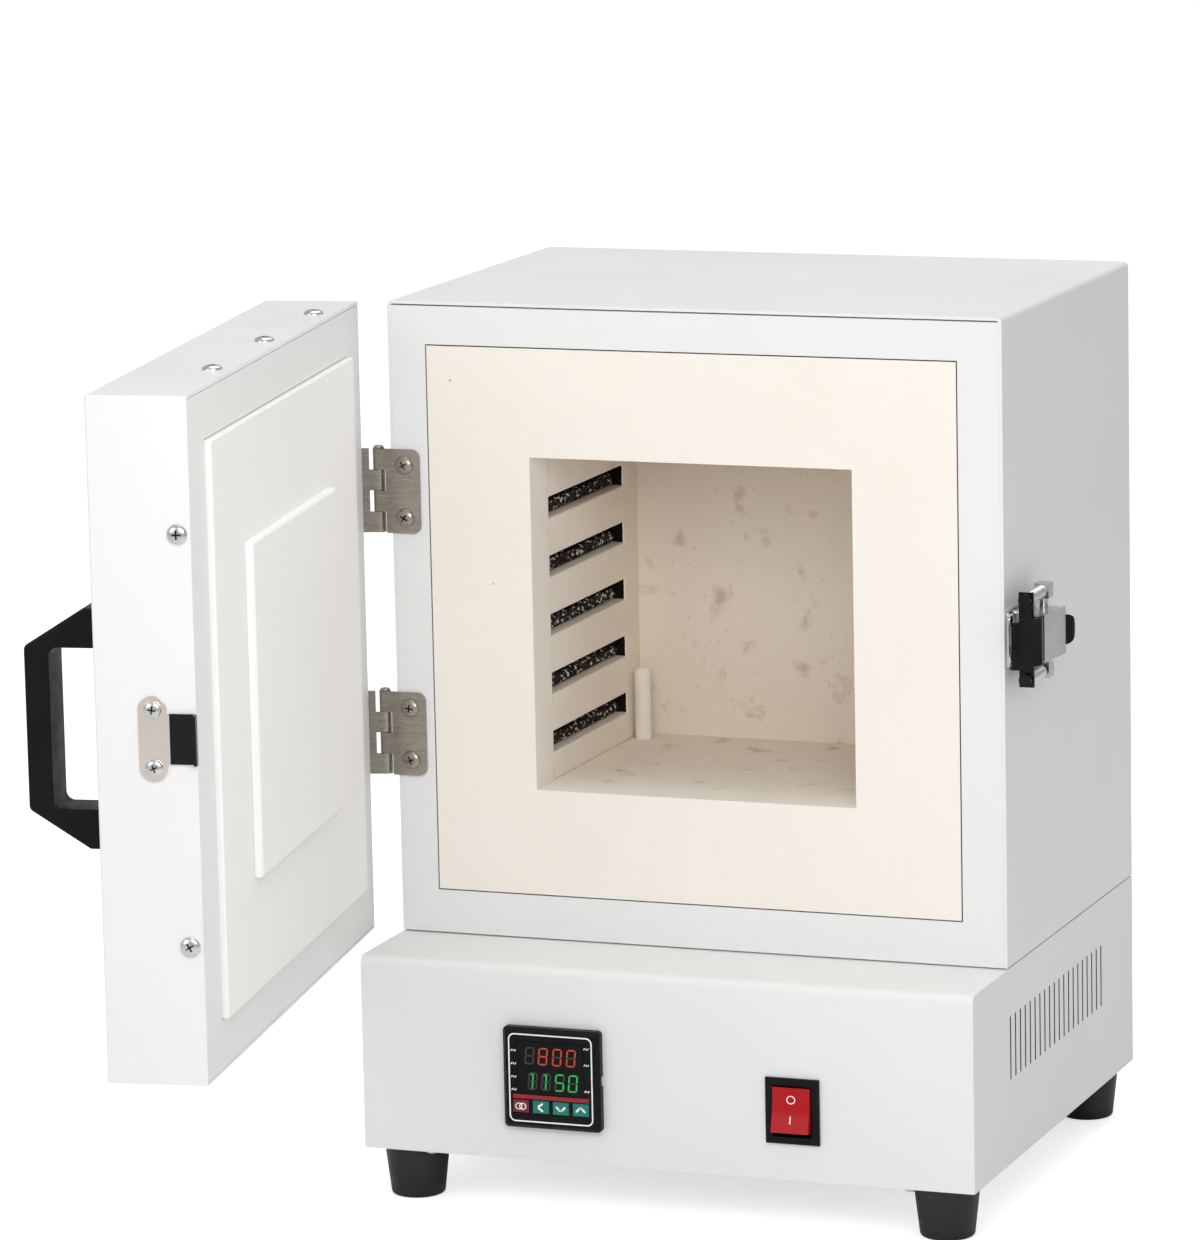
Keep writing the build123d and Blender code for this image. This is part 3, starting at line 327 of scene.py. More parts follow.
def use_group(tree, group, where, **values):
    """Puts a group in a material with its own values."""
    node = tree.nodes.new("ShaderNodeGroup")
    node.node_tree = group
    tree.links.new(where, node.inputs["Vector"])
    for key, value in values.items():
        node.inputs[key.replace("_", " ")].default_value = value
    return node


def add_bump(tree, shader, height, strength, distance):
    """A bump of a real height in metres."""
    bump = tree.nodes.new("ShaderNodeBump")
    bump.inputs["Strength"].default_value = strength
    bump.inputs["Distance"].default_value = distance
    tree.links.new(height, bump.inputs["Height"])
    tree.links.new(bump.outputs["Normal"], shader.inputs["Normal"])


def vary_roughness(tree, shader, where, scale, low, high):
    """Roughness that wanders between two values."""
    source = noise(tree, where, scale, 3.0)
    span = tree.nodes.new("ShaderNodeMapRange")
    span.inputs["From Min"].default_value = 0.3
    span.inputs["From Max"].default_value = 0.7
    span.inputs["To Min"].default_value = low
    span.inputs["To Max"].default_value = high
    tree.links.new(source.outputs["Fac"], span.inputs["Value"])
    tree.links.new(span.outputs["Result"], shader.inputs["Roughness"])


def mix_colour(tree, mask, a, b):
    """Colour a where the mask is 0 and b where it is 1; a may be a socket or a colour."""
    node = tree.nodes.new("ShaderNodeMix")
    node.data_type = "RGBA"
    tree.links.new(mask, node.inputs["Factor"])
    feed(tree, node.inputs["A"], a)
    feed(tree, node.inputs["B"], b)
    return node.outputs["Result"]


# %% [markdown]
# Powder coat: a nearly white paint with a faint orange-peel surface. The peel is a millimetre across and
# a few hundredths deep, so it only softens the reflections.


# %% Powder coat
def deeper_than(tree, where, box, depth):
    """1 where a point lies deeper inside a box than the depth given for each axis."""
    low, high = box
    from_middle = vectors(tree, "ABSOLUTE", vectors(tree, "SUBTRACT", where, (low + high) / 2))
    left = axes(tree, vectors(tree, "SUBTRACT", (high - low) / 2 - Vector(depth), from_middle))
    least = maths(tree, "MINIMUM", maths(tree, "MINIMUM", left["X"], left["Y"]), left["Z"])
    return maths(tree, "GREATER_THAN", least, 0.0)


def powder_coat(name, node=None, depth=None):
    """White paint; inside a node's own box, deeper than depth, it is painted near black as shade inside the
    shell.
    """
    made, tree, shader, where = start_material(name, 0.42, Specular_IOR_Level=0.45)
    tone = use_group(tree, drift, where, Scale=6.0, Light=(0.855, 0.858, 0.852, 1),
                     Dark=(0.825, 0.83, 0.826, 1))
    paint = tone.outputs["Color"]
    if node:
        # Painted shade: faces inside the box, such as the walls seen through the base's vents, are near black.
        inner = deeper_than(tree, where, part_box(node), depth)
        paint = mix_colour(tree, inner, paint, (0.02, 0.02, 0.021, 1))
    tree.links.new(paint, shader.inputs["Base Color"])
    vary_roughness(tree, shader, where, 14.0, 0.36, 0.5)
    peel = use_group(tree, grain, where, Scale=1100.0, Coarse_Share=0.6)
    add_bump(tree, shader, peel.outputs["Height"], 0.25, 0.00006)
    return made


# %% [markdown]
# Fibre board is chalky and cream, with fine pits and a few dark dots. Inside the chamber the colour turns tan
# and darker with depth from the front of the case, most at the back, with brown stains. The grooves of the side
# boards are painted near black as shade, and a thin dark line marks where the side boards meet the front board.

# %% Refractory boards
MOUTH_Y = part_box("front_board")[0].y
BOARD_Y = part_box("front_board")[1].y
BACK_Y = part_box("back_board")[0].y
WALL_LEFT_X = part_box("element_board_left")[1].x
WALL_RIGHT_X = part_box("element_board_right")[0].x
MIDDLE_X = (WALL_LEFT_X + WALL_RIGHT_X) / 2
TAN = (0.84, 0.73, 0.60, 1)
# Near black for painted shade in the grooves of the side boards.
GROOVE_SHADE = (0.010, 0.007, 0.006, 1)
GROOVE_SHADE_FROM = 0.0007
# Width of the painted shade round the front board.
GAP_SHADE_WIDTH = 0.0003


def board(name, light, dark, tan, stain_colour, stain_low, dot_scale, dot_size, dot_colour, stain_scale=26.0):
    """Fibre board; tan is how far the colour turns to tan by the back of the chamber."""
    made, tree, shader, where = start_material(name, 0.92, Specular_IOR_Level=0.15)
    tone = use_group(tree, drift, where, Scale=9.0, Light=light, Dark=dark)
    depth = tree.nodes.new("ShaderNodeMapRange")
    depth.inputs["From Min"].default_value = MOUTH_Y + 0.004
    depth.inputs["From Max"].default_value = BACK_Y
    depth.inputs["To Max"].default_value = tan
    tree.links.new(axes(tree, where)["Y"], depth.inputs["Value"])
    warm = mix_colour(tree, depth.outputs["Result"], tone.outputs["Color"], TAN)
    blotch = noise(tree, where, stain_scale, 8.0, 0.65)
    patch = ramp(tree, blotch.outputs["Fac"], stain_low, stain_low + 0.14)
    stained = mix_colour(tree, patch.outputs["Color"], warm, stain_colour)
    dots = use_group(tree, specks, where, Scale=dot_scale, Size=dot_size)
    dotted = mix_colour(tree, dots.outputs["Mask"], stained, dot_colour)
    tree.links.new(dotted, shader.inputs["Base Color"])
    rough_grain = use_group(tree, grain, where, Scale=1500.0, Coarse_Share=0.35)
    add_bump(tree, shader, rough_grain.outputs["Height"], 0.5, 0.00025)
    return made, tree, shader, where, dotted


def board_with_gap_shade():
    """The front board, with its edge painted near black where it meets the steel frame: painted shade in the
    gap.
    """
    made, tree, shader, where, surface = board(
        "front_cream", CREAM, CREAM_DARK, 0.0, (0.84, 0.76, 0.64, 1), 0.70, 42.0, 0.028, PALE_DOT)
    # Painted shade: a thin rim round the board's face is near black, for the shadow in the gap to the frame.
    inner = deeper_than(tree, where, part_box("front_board"), (GAP_SHADE_WIDTH, -1, GAP_SHADE_WIDTH))
    gap_shaded = mix_colour(tree, inner, (0.09, 0.085, 0.08, 1), surface)
    tree.links.new(gap_shaded, shader.inputs["Base Color"])
    return made


def edge_line(tree, where, axis, limit, wander):
    """1 on the low side of a plane across an axis, with an edge that wanders by some metres."""
    chips = noise(tree, where, 900.0, 3.0, 0.7)
    shifted = maths(tree, "MULTIPLY_ADD", chips.outputs["Fac"], wander, axes(tree, where)[axis])
    return maths(tree, "LESS_THAN", shifted, limit + wander / 2)


def element_board():
    """Side board of the chamber: its grooves are painted near black as shade, but for their up-facing ledges,
    with a dark joint in front.
    """
    made, tree, shader, where, surface = board(
        "element_board", CHAMBER, CHAMBER_DARK, 0.5, SMUDGE, 0.66, 260.0, 0.07, DOT)
    joint = edge_line(tree, where, "Y", BOARD_Y + 0.0004, 0.0005)
    jointed = mix_colour(tree, joint, surface, (0.16, 0.12, 0.09, 1))
    # Painted shade: deep in the grooves, faces that do not face up are near black; the lit ledges keep the
    # board's colour.
    from_middle = vectors(tree, "ABSOLUTE", vectors(tree, "SUBTRACT", where, (MIDDLE_X, 0, 0)))
    inward = vectors(tree, "MULTIPLY", from_middle, (-1, 1, 1))
    deep = edge_line(tree, inward, "X", WALL_LEFT_X - MIDDLE_X - GROOVE_SHADE_FROM, 0.0009)
    faces = tree.nodes.new("ShaderNodeNewGeometry")
    faces_up = axes(tree, faces.outputs["True Normal"])["Z"]
    not_ledge = maths(tree, "LESS_THAN", faces_up, 0.5)
    groove_shaded = mix_colour(tree, maths(tree, "MULTIPLY", deep, not_ledge), jointed, GROOVE_SHADE)
    tree.links.new(groove_shaded, shader.inputs["Base Color"])
    return made


# %% [markdown]
# The metals are plated sheet and wire. Their tone drifts slowly, and a fine grain, stretched along the
# rolling direction where it shows, breaks up the highlights. The heating wire is near black, partly the dark of
# the heated wire and partly painted shade from its grooves, and it carries pale specks that are painted glints.

# %% Metals
SCRATCH = 0.00002


def plain_metal(name, light, dark, rough_low, rough_high, along=(1, 1, 1)):
    """Plated or brushed steel; along stretches the grain by a different scale on each axis."""
    made, tree, shader, where = start_material(name, rough_low, 1.0)
    stretch = tree.nodes.new("ShaderNodeMapping")
    stretch.inputs["Scale"].default_value = along
    tree.links.new(where, stretch.inputs["Vector"])
    tone = use_group(tree, drift, stretch.outputs["Vector"], Scale=60.0, Light=light, Dark=dark)
    tree.links.new(tone.outputs["Color"], shader.inputs["Base Color"])
    vary_roughness(tree, shader, stretch.outputs["Vector"], 160.0, rough_low, rough_high)
    lines = use_group(tree, grain, stretch.outputs["Vector"], Scale=2400.0, Coarse_Share=0.3)
    add_bump(tree, shader, lines.outputs["Height"], 0.3, SCRATCH)
    return made


def wire_with_painted_glints():
    """Resistance wire near black, partly from heat and partly painted shade, with pale specks of painted glint
    on it.
    """
    made, tree, shader, where = start_material("heating_wire", 0.55, Specular_IOR_Level=0.25)
    tone = use_group(tree, drift, where, Scale=300.0, Light=(0.030, 0.020, 0.016, 1),
                     Dark=(0.008, 0.006, 0.005, 1))
    # Painted glints: pale specks scattered over the dark wire.
    glint_noise = noise(tree, where, 620.0, 2.0, 0.5)
    pale = ramp(tree, glint_noise.outputs["Fac"], 0.585, 0.625)
    glinted = mix_colour(tree, pale.outputs["Color"], tone.outputs["Color"], (0.80, 0.74, 0.66, 1))
    tree.links.new(glinted, shader.inputs["Base Color"])
    crust = use_group(tree, grain, where, Scale=1800.0, Coarse_Share=0.3)
    add_bump(tree, shader, crust.outputs["Height"], 0.4, 0.00005)
    return made


# %% [markdown]
# Handle, grip, controller case and feet are moulded, and keep the fine skin that a mould leaves. Lit
# segments and prints are thin flat pieces; the lit segments give out a little light of their own, and the
# prints a little painted glow.

# %% Plastics and rubber
def moulded(name, light, dark, rough_low, rough_high, grain_scale, depth, **plain):
    """Moulded plastic or rubber with its own surface texture."""
    made, tree, shader, where = start_material(name, rough_low, **plain)
    tone = use_group(tree, drift, where, Scale=40.0, Light=light, Dark=dark)
    tree.links.new(tone.outputs["Color"], shader.inputs["Base Color"])
    vary_roughness(tree, shader, where, 90.0, rough_low, rough_high)
    skin = use_group(tree, grain, where, Scale=grain_scale, Coarse_Share=0.2)
    add_bump(tree, shader, skin.outputs["Height"], 0.4, depth)
    return made


def glowing(name, colour, strength):
    """A lit segment or printed mark; a slight drift keeps it from being one flat colour. Prints given a
    strength get a painted glow.
    """
    made, tree, shader, where = start_material(name, 0.4)
    dim = tuple(c * 0.8 for c in colour[:3]) + (1,)
    tone = use_group(tree, drift, where, Scale=500.0, Light=colour, Dark=dim)
    tree.links.new(tone.outputs["Color"], shader.inputs["Base Color"])
    if strength:
        tree.links.new(tone.outputs["Color"], shader.inputs["Emission Color"])
        shader.inputs["Emission Strength"].default_value = strength
    return made


# %% [markdown]
# One table holds every finish by name. Of the two tones of a finish the first is the lighter one. The
# slots of the record pick from it, and a few nodes pick another finish by their own name.

# %% All finishes
CREAM = (0.94, 0.885, 0.81, 1)
CREAM_DARK = (0.92, 0.86, 0.78, 1)
CHAMBER = (0.95, 0.89, 0.81, 1)
CHAMBER_DARK = (0.91, 0.84, 0.755, 1)
SMUDGE = (0.62, 0.53, 0.42, 1)
DOT = (0.46, 0.36, 0.28, 1)
PALE_DOT = (0.62, 0.53, 0.43, 1)
FINISH = {
    "coat_white": powder_coat("powder_coat"),
    # The base casing's inside is painted near black, a painted shade seen through its vents.
    "coat_shaded_inside": powder_coat("casing_coat_shaded_inside", "base_casing", (0.00015, 0.010, 0.010)),
    "refractory": board("chamber_board", CHAMBER, CHAMBER_DARK, 0.55, SMUDGE, 0.58, 260.0, 0.085, DOT, 64.0)[0],
    "front_cream": board_with_gap_shade(),
    "door_cream": board("door_cream", (0.95, 0.945, 0.93, 1), (0.925, 0.92, 0.90, 1), 0.0,
                        (0.84, 0.82, 0.78, 1), 0.72, 30.0, 0.018, PALE_DOT)[0],
    "fibre_blanket": board("blanket", (0.9, 0.89, 0.86, 1), (0.84, 0.83, 0.79, 1), 0.0, CREAM, 0.75, 300.0,
                           0.05, PALE_DOT)[0],
    "element_board": element_board(),
    "heating_wire": wire_with_painted_glints(),
    "white_ceramic": moulded("white_ceramic", (0.95, 0.90, 0.83, 1), (0.92, 0.86, 0.78, 1), 0.6, 0.75, 1500.0,
                             0.00004),
    "satin_steel": plain_metal("satin_steel", (0.42, 0.39, 0.34, 1), (0.33, 0.305, 0.265, 1), 0.22, 0.36,
                               (1, 1, 12)),
    "bright_steel": plain_metal("bright_steel", (0.78, 0.78, 0.77, 1), (0.66, 0.655, 0.65, 1), 0.12, 0.24),
    "lever_steel": plain_metal("lever_steel", (0.64, 0.64, 0.63, 1), (0.56, 0.56, 0.555, 1), 0.16, 0.3),
    # Chrome latch parts painted near black: a painted dark reflection.
    "chrome_painted_dark": plain_metal("chrome_painted_dark", (0.034, 0.034, 0.036, 1), (0.014, 0.014, 0.015, 1), 0.08, 0.2),
    # Near black for painted shade: the crosses of the screws and the housing's floor plate.
    "recess": moulded("recess_painted_shade", (0.012, 0.012, 0.012, 1), (0.004, 0.004, 0.004, 1), 0.4, 0.6, 2500.0,
                      0.00001),
    "black_plastic": moulded("black_plastic", (0.0075, 0.0075, 0.008, 1), (0.0045, 0.0045, 0.005, 1), 0.3,
                             0.46, 2200.0, 0.00004, Specular_IOR_Level=0.14),
    "black_gloss": moulded("black_gloss", (0.007, 0.0075, 0.008, 1), (0.004, 0.004, 0.0045, 1), 0.1, 0.18,
                           2500.0, 0.000004, Specular_IOR_Level=0.14),
    "black_rubber": moulded("black_rubber", (0.011, 0.011, 0.011, 1), (0.007, 0.007, 0.007, 1), 0.38, 0.5,
                            1600.0, 0.00005),
    "rocker_red": moulded("rocker_red", (0.47, 0.009, 0.012, 1), (0.40, 0.006, 0.009, 1), 0.14, 0.2, 1400.0,
                          0.000006, Specular_IOR_Level=0.2),
    "key_dark_red": moulded("key_dark_red", (0.20, 0.012, 0.028, 1), (0.15, 0.010, 0.02, 1), 0.3, 0.42, 1600.0,
                            0.00001),
    "key_teal": moulded("key_teal", (0.004, 0.20, 0.165, 1), (0.004, 0.16, 0.13, 1), 0.3, 0.42, 1600.0,
                        0.00001),
    "digit_red": glowing("digit_red", (0.45, 0.034, 0.014, 1), 0.45),
    "digit_green": glowing("digit_green", (0.016, 0.38, 0.07, 1), 0.45),
    "digit_off": glowing("digit_off", (0.035, 0.035, 0.036, 1), 0.0),
    # The prints are no lamps: their small emission is a painted glow.
    "print_white": glowing("print_white", (0.85, 0.85, 0.84, 1), 0.25),
    "print_red": glowing("print_red", (0.30, 0.008, 0.014, 1), 0.15),
}


# %% [markdown]
# The door stands open, so what faces right or back on the closed door has turned with it; the hinge
# joint gives the turn. The keeper needs it for its painted dark reflection: a warm plate whose tongue is near
# black.

# %% Directions of the open door, and the keeper's finish
def joint_turn(joint, value):
    """The rotation of a hinge joint about its own line by a value in radians."""
    pivot = Vector(joint["pos_m"])
    turn = Matrix.Rotation(value, 4, Vector(joint["axis"]))
    return Matrix.Translation(pivot) @ turn @ Matrix.Translation(-pivot)


DOOR = JOINTS["door_hinge"]
DOOR_OPEN = math.radians(DOOR["range_deg"][1])
FROM_CLOSED = joint_turn(DOOR, -DOOR_OPEN)
door_right = (FROM_CLOSED.to_3x3() @ Vector((1, 0, 0))).normalized()
door_in = (FROM_CLOSED.to_3x3() @ Vector((0, 1, 0))).normalized()
TONGUE_DEEP = 0.0125


def keeper_plate():
    """Warm plated steel; the tongue that the claw hooks over is near black, a painted dark reflection of the
    chrome.
    """
    made, tree, shader, where = start_material("keeper_plate", 0.2, 1.0)
    tip = max(vert.co.dot(door_in) for vert in NODES["keeper"].data.vertices)
    inward = vectors(tree, "DOT_PRODUCT", where, door_in, result="Value")
    # Painted reflection: the tongue is near black, as chrome that reflects dark surroundings.
    past = maths(tree, "GREATER_THAN", inward, tip - TONGUE_DEEP)
    tone = use_group(tree, drift, where, Scale=70.0, Light=(0.96, 0.88, 0.81, 1), Dark=(0.88, 0.79, 0.71, 1))
    painted_dark_tongue = mix_colour(tree, past, tone.outputs["Color"], (0.03, 0.03, 0.032, 1))
    tree.links.new(painted_dark_tongue, shader.inputs["Base Color"])
    vary_roughness(tree, shader, where, 160.0, 0.12, 0.24)
    return made


FINISH["keeper_plate"] = keeper_plate()
print("finishes", len(FINISH))

# %% [markdown]
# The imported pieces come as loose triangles. A Weld modifier joins them, a Bevel rounds the sharp edges by
# a real amount, so that they catch the light, and a small geometry group shades the curves smoothly.

# %% Edge and shading modifiers
shade = bpy.data.node_groups.new("smooth_by_angle", "GeometryNodeTree")
shade.interface.new_socket(name="Geometry", in_out="INPUT", socket_type="NodeSocketGeometry")
shade.interface.new_socket(name="Geometry", in_out="OUTPUT", socket_type="NodeSocketGeometry")
shade_in = shade.nodes.new("NodeGroupInput")
shade_out = shade.nodes.new("NodeGroupOutput")
all_smooth = shade.nodes.new("GeometryNodeSetShadeSmooth")
edge_flat = shade.nodes.new("GeometryNodeSetShadeSmooth")
edge_flat.domain = "EDGE"
edge_flat.inputs["Shade Smooth"].default_value = False
turn = shade.nodes.new("GeometryNodeInputMeshEdgeAngle")
sharp = shade.nodes.new("FunctionNodeCompare")
sharp.data_type = "FLOAT"
sharp.operation = "GREATER_THAN"
sharp.inputs[1].default_value = math.radians(32)
shade.links.new(shade_in.outputs[0], all_smooth.inputs["Geometry"])
shade.links.new(all_smooth.outputs[0], edge_flat.inputs["Geometry"])
shade.links.new(turn.outputs["Unsigned Angle"], sharp.inputs[0])
shade.links.new(sharp.outputs["Result"], edge_flat.inputs["Selection"])
shade.links.new(edge_flat.outputs[0], shade_out.inputs[0])


WELD = 0.00001


def smooth(obj, edge):
    """Welds, clears flat faces, shades and bevels an object without touching its own mesh."""
    weld = obj.modifiers.new("weld", "WELD")
    weld.merge_threshold = WELD
    flat = obj.modifiers.new("flat", "DECIMATE")
    flat.decimate_type = "DISSOLVE"
    flat.angle_limit = math.radians(0.4)
    nodes = obj.modifiers.new("shade", "NODES")
    nodes.node_group = shade
    if edge:
        bevel = obj.modifiers.new("edge", "BEVEL")
        bevel.width = edge
        bevel.segments = 2
        bevel.limit_method = "ANGLE"
        bevel.angle_limit = math.radians(40)
        bevel.use_clamp_overlap = True
        bevel.harden_normals = True


EDGES = {
    "base_casing": 0.35, "housing_wrapper": 0.35, "housing_front_frame": 0.25, "door_shell": 0.35,
    "door_inner_frame": 0.25, "front_board": 0.2, "element_board_left": 0.8, "element_board_right": 0.8,
    "door_board": 0.9, "door_plug": 0.6, "door_handle": 0.3, "hinge_fixed_leaves": 0.15,
    "hinge_door_leaves": 0.15, "keeper": 0.2, "latch_base": 0.2, "latch_lever": 0.2, "latch_grip": 0.5,
    "latch_claw": 0.2, "latch_trunnion": 0.3, "controller_case": 0.25, "switch_body": 0.25, "rocker": 0.35,
    "power_inlet": 0.3, "base_back_panel": 0.2, "housing_back_panel": 0.2, "feet": 0.25,
}
# Some nodes take another finish; the housing's floor plate takes the near black of painted shade.
OTHER_FINISH = {
    "front_board": "front_cream", "door_board": "door_cream", "door_plug": "door_cream",
    "element_board_left": "element_board", "element_board_right": "element_board",
    "base_casing": "coat_shaded_inside", "housing_floor_plate": "recess", "latch_claw": "chrome_painted_dark",
    "latch_lever": "lever_steel", "keeper": "keeper_plate", "latch_rods": "chrome_painted_dark",
    "latch_pivot_pin": "chrome_painted_dark", "latch_trunnion": "lever_steel",
}

for node, obj in NODES.items():
    obj.data.materials.clear()
    obj.data.materials.append(FINISH[OTHER_FINISH.get(node, SLOT_OF[node])])
    smooth(obj, EDGES.get(node, 0.0) * MM)
print("dressed", len(NODES), "nodes")


# %% [markdown]
# New pieces are built with mesh operators in a bmesh and finished by one helper, which gives the piece
# its name, its body and its finish and, where it takes a node's place, hides the node.


# %% Finishing a piece
def finish_piece(name, data, body, finish, smooth_angle=32, stands_for=(), second=None):
    """Turns a bmesh into a piece that rides on a body; finish is its finish in the table, second a second one.
    """
    bmesh.ops.remove_doubles(data, verts=data.verts, dist=0.000002)
    bmesh.ops.recalc_face_normals(data, faces=data.faces)
    mesh = mesh_of(name, data)
    mesh.shade_smooth()
    mesh.set_sharp_from_angle(angle=math.radians(smooth_angle))
    mesh.materials.append(FINISH[finish])
    if second:
        mesh.materials.append(FINISH[second])
    obj = link_object(name, mesh)
    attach(obj, body)
    if stands_for:
        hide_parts(*stands_for)


def add_copy(target, source, matrix):
    """Adds a placed copy of one mesh to a bmesh."""
    before = set(target.verts)
    target.from_mesh(source)
    fresh = [v for v in target.verts if v not in before]
    bmesh.ops.transform(target, matrix=matrix, verts=fresh)


def facing(spot, out, turn=0.0):
    """A matrix that puts a piece made along +Z at a spot, with +Z turned to face out."""
    spin = out.normalized().to_track_quat("Z", "Y").to_matrix().to_4x4()
    return Matrix.Translation(spot) @ spin @ Matrix.Rotation(turn, 4, "Z")


def islands(obj):
    """The separate solids of a node in order of place, each as a list of its vertices' places."""
    data = bmesh.new()
    data.from_mesh(obj.data)
    bmesh.ops.remove_doubles(data, verts=data.verts, dist=WELD)
    left = set(data.verts)
    found = []
    while left:
        front = [left.pop()]
        part = []
        while front:
            vert = front.pop()
            part.append(vert.co.copy())
            for edge in vert.link_edges:
                other = edge.other_vert(vert)
                if other in left:
                    left.discard(other)
                    front.append(other)
        found.append(part)
    data.free()
    return sorted(found, key=lambda points: tuple(round(value, 4) for value in mean(points)))


def mean(points):
    """The middle of the box round some points."""
    low = Vector([min(p[i] for p in points) for i in range(3)])
    high = Vector([max(p[i] for p in points) for i in range(3)])
    return (low + high) / 2


# %% [markdown]
# Screws: every visible fastener is a pan head with a cross recess. One head of radius 1 is turned from a
# profile, and a cross-shaped punch with tapered arms is cut out of it. Each screw is a scaled copy.

# %% One cross-head screw
HEAD_HIGH = 0.44
head_data = bmesh.new()
profile = [(0, 1.0), (0.35, 0.97), (0.62, 0.86), (0.84, 0.64), (0.96, 0.36), (1.0, 0.1), (1.0, 0.0), (0.0, 0.0)]
rail = [head_data.verts.new((x, 0, z * HEAD_HIGH)) for x, z in profile]
edges = [head_data.edges.new(pair) for pair in zip(rail, rail[1:])]
bmesh.ops.spin(head_data, geom=rail + edges, cent=(0, 0, 0), axis=(0, 0, 1), angle=math.tau, steps=40,
               use_merge=True)
bmesh.ops.remove_doubles(head_data, verts=head_data.verts, dist=0.0001)
bmesh.ops.recalc_face_normals(head_data, faces=head_data.faces)
head_object = link_object("screw_head", mesh_of("screw_head", head_data))

punch_data = bmesh.new()
ARM = 0.58
ARM_WIDE = 0.2
for quarter_turn in (0, math.pi / 2):
    made = bmesh.ops.create_cube(punch_data, size=1.0)["verts"]
    bmesh.ops.scale(punch_data, verts=made, vec=(2 * ARM, ARM_WIDE, 0.5))
    bmesh.ops.scale(punch_data, verts=[v for v in made if v.co.z < 0], vec=(0.45, 0.6, 1))
    bmesh.ops.rotate(punch_data, verts=made, matrix=Matrix.Rotation(quarter_turn, 3, "Z"))
    bmesh.ops.translate(punch_data, verts=made, vec=(0, 0, 0.37))
punch_object = link_object("screw_punch", mesh_of("screw_punch", punch_data))
cut = head_object.modifiers.new("cross", "BOOLEAN")
cut.operation = "DIFFERENCE"
cut.solver = "EXACT"
cut.use_self = True
cut.object = punch_object
ready = head_object.evaluated_get(bpy.context.evaluated_depsgraph_get())
CROSS_HEAD = bpy.data.meshes.new_from_object(ready)
for item in (head_object, punch_object):
    bpy.data.objects.remove(item)
# Painted shade: faces inside the cross get the second, near black finish.
RECESS_FLOOR = 0.2
for face in CROSS_HEAD.polygons:
    in_reach = math.hypot(face.center.x, face.center.y) < ARM
    if in_reach and RECESS_FLOOR > face.center.z > 0.05 or in_reach and abs(face.normal.z) < 0.5:
        face.material_index = 1
print("cross head faces", len(CROSS_HEAD.polygons))


# %% [markdown]
# The frame's screws are plain round solids. Each gives the place of a cross head with a short shank, and
# the piece that it holds says which way it faces. Every head is turned by another angle, as when driven.

# %% Put a screw on every screw of the frame
def screws(node, outward, size):
    """Cross heads in place of a node's screws; outward gives the way each faces, size its radius and height."""
    data = bmesh.new()
    for index, points in enumerate(islands(NODES[node])):
        middle = mean(points)
        out = outward(middle)
        radius, head_high = size(middle) if callable(size) else size
        seat_out = max(p.dot(out) for p in points)
        axis_point = middle - out * middle.dot(out)
        seat = axis_point + out * (seat_out - head_high)
        scale = Matrix.Diagonal((radius, radius, head_high / HEAD_HIGH, 1))
        add_copy(data, CROSS_HEAD, facing(seat, out, 0.35 + 1.1 * index) @ scale)
        shank = bmesh.ops.create_cone(data, cap_ends=True, segments=16, radius1=radius * 0.4,
                                      radius2=radius * 0.4, depth=0.004)["verts"]
        bmesh.ops.transform(data, matrix=facing(seat - out * 0.0019, out), verts=shank)
    slot = SLOT_OF[node]
    finish_piece(node + "_cross_heads", data, BODY_OF[node], slot, 38, (node,), "recess")


UP = Vector((0, 0, 1))
TO_BACK = Vector((0, 1, 0))
door_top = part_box("door_shell")[1].z


def door_screw_out(point):
    """Up for the cap screws, along the door for the edge screws."""
    return UP if point.z > door_top - 0.02 else door_right


def panel_screw_out(point):
    """Down for the tray's two screws under the front edge, to the back for all the others."""
    return -UP if point.y < 0 else TO_BACK


def panel_screw_size(point):
    """The tray's screws are smaller than those of the back panels."""
    return TRAY_SCREW if point.y < 0 else PANEL_SCREW


# radius and height of each kind of head
DOOR_SCREW = (0.0046, 0.0022)
HINGE_SCREW = (0.0045, 0.0020)
KEEPER_SCREW = (0.0040, 0.0018)
PANEL_SCREW = (0.0036, 0.0022)
TRAY_SCREW = (0.0030, 0.0020)
INLET_SCREW = (0.0028, 0.0018)
screws("door_screws", door_screw_out, DOOR_SCREW)
screws("hinge_screws_housing", lambda p: -TO_BACK, HINGE_SCREW)
screws("hinge_screws_door", lambda p: -door_right, HINGE_SCREW)
screws("keeper_screws", lambda p: door_right, KEEPER_SCREW)
screws("panel_screws", panel_screw_out, panel_screw_size)
screws("inlet_screws", lambda p: TO_BACK, INLET_SCREW)
print("screws placed")


# %% [markdown]
# The heating wire is wound into long close coils that lie in the grooves of the side boards. A small
# circle is spun about the coil's line while it moves along it: the spin operator's dvec makes the helix.


# %% Coils and springs
def winding(length, radius, wire, pitch, sides, per_turn):
    """A wire wound up along +Z from the origin; radius is to the middle of the wire."""
    data = bmesh.new()
    turns = length / pitch
    steps = int(turns * per_turn)
    loop_verts = bmesh.ops.create_circle(data, cap_ends=False, segments=sides, radius=wire)["verts"]
    bmesh.ops.rotate(data, verts=loop_verts, matrix=Matrix.Rotation(math.pi / 2, 3, "X"))
    bmesh.ops.translate(data, verts=loop_verts, vec=(radius, 0, 0))
    loop = list(dict.fromkeys(e for v in loop_verts for e in v.link_edges))
    made = bmesh.ops.spin(data, geom=loop_verts + loop, cent=(0, 0, 0), axis=(0, 0, 1),
                          angle=math.tau * turns, steps=steps, dvec=(0, 0, length / steps), use_merge=False)
    last = [g for g in made["geom_last"] if isinstance(g, bmesh.types.BMEdge)]
    bmesh.ops.contextual_create(data, geom=last)
    bmesh.ops.contextual_create(data, geom=loop)
    return mesh_of("winding", data)


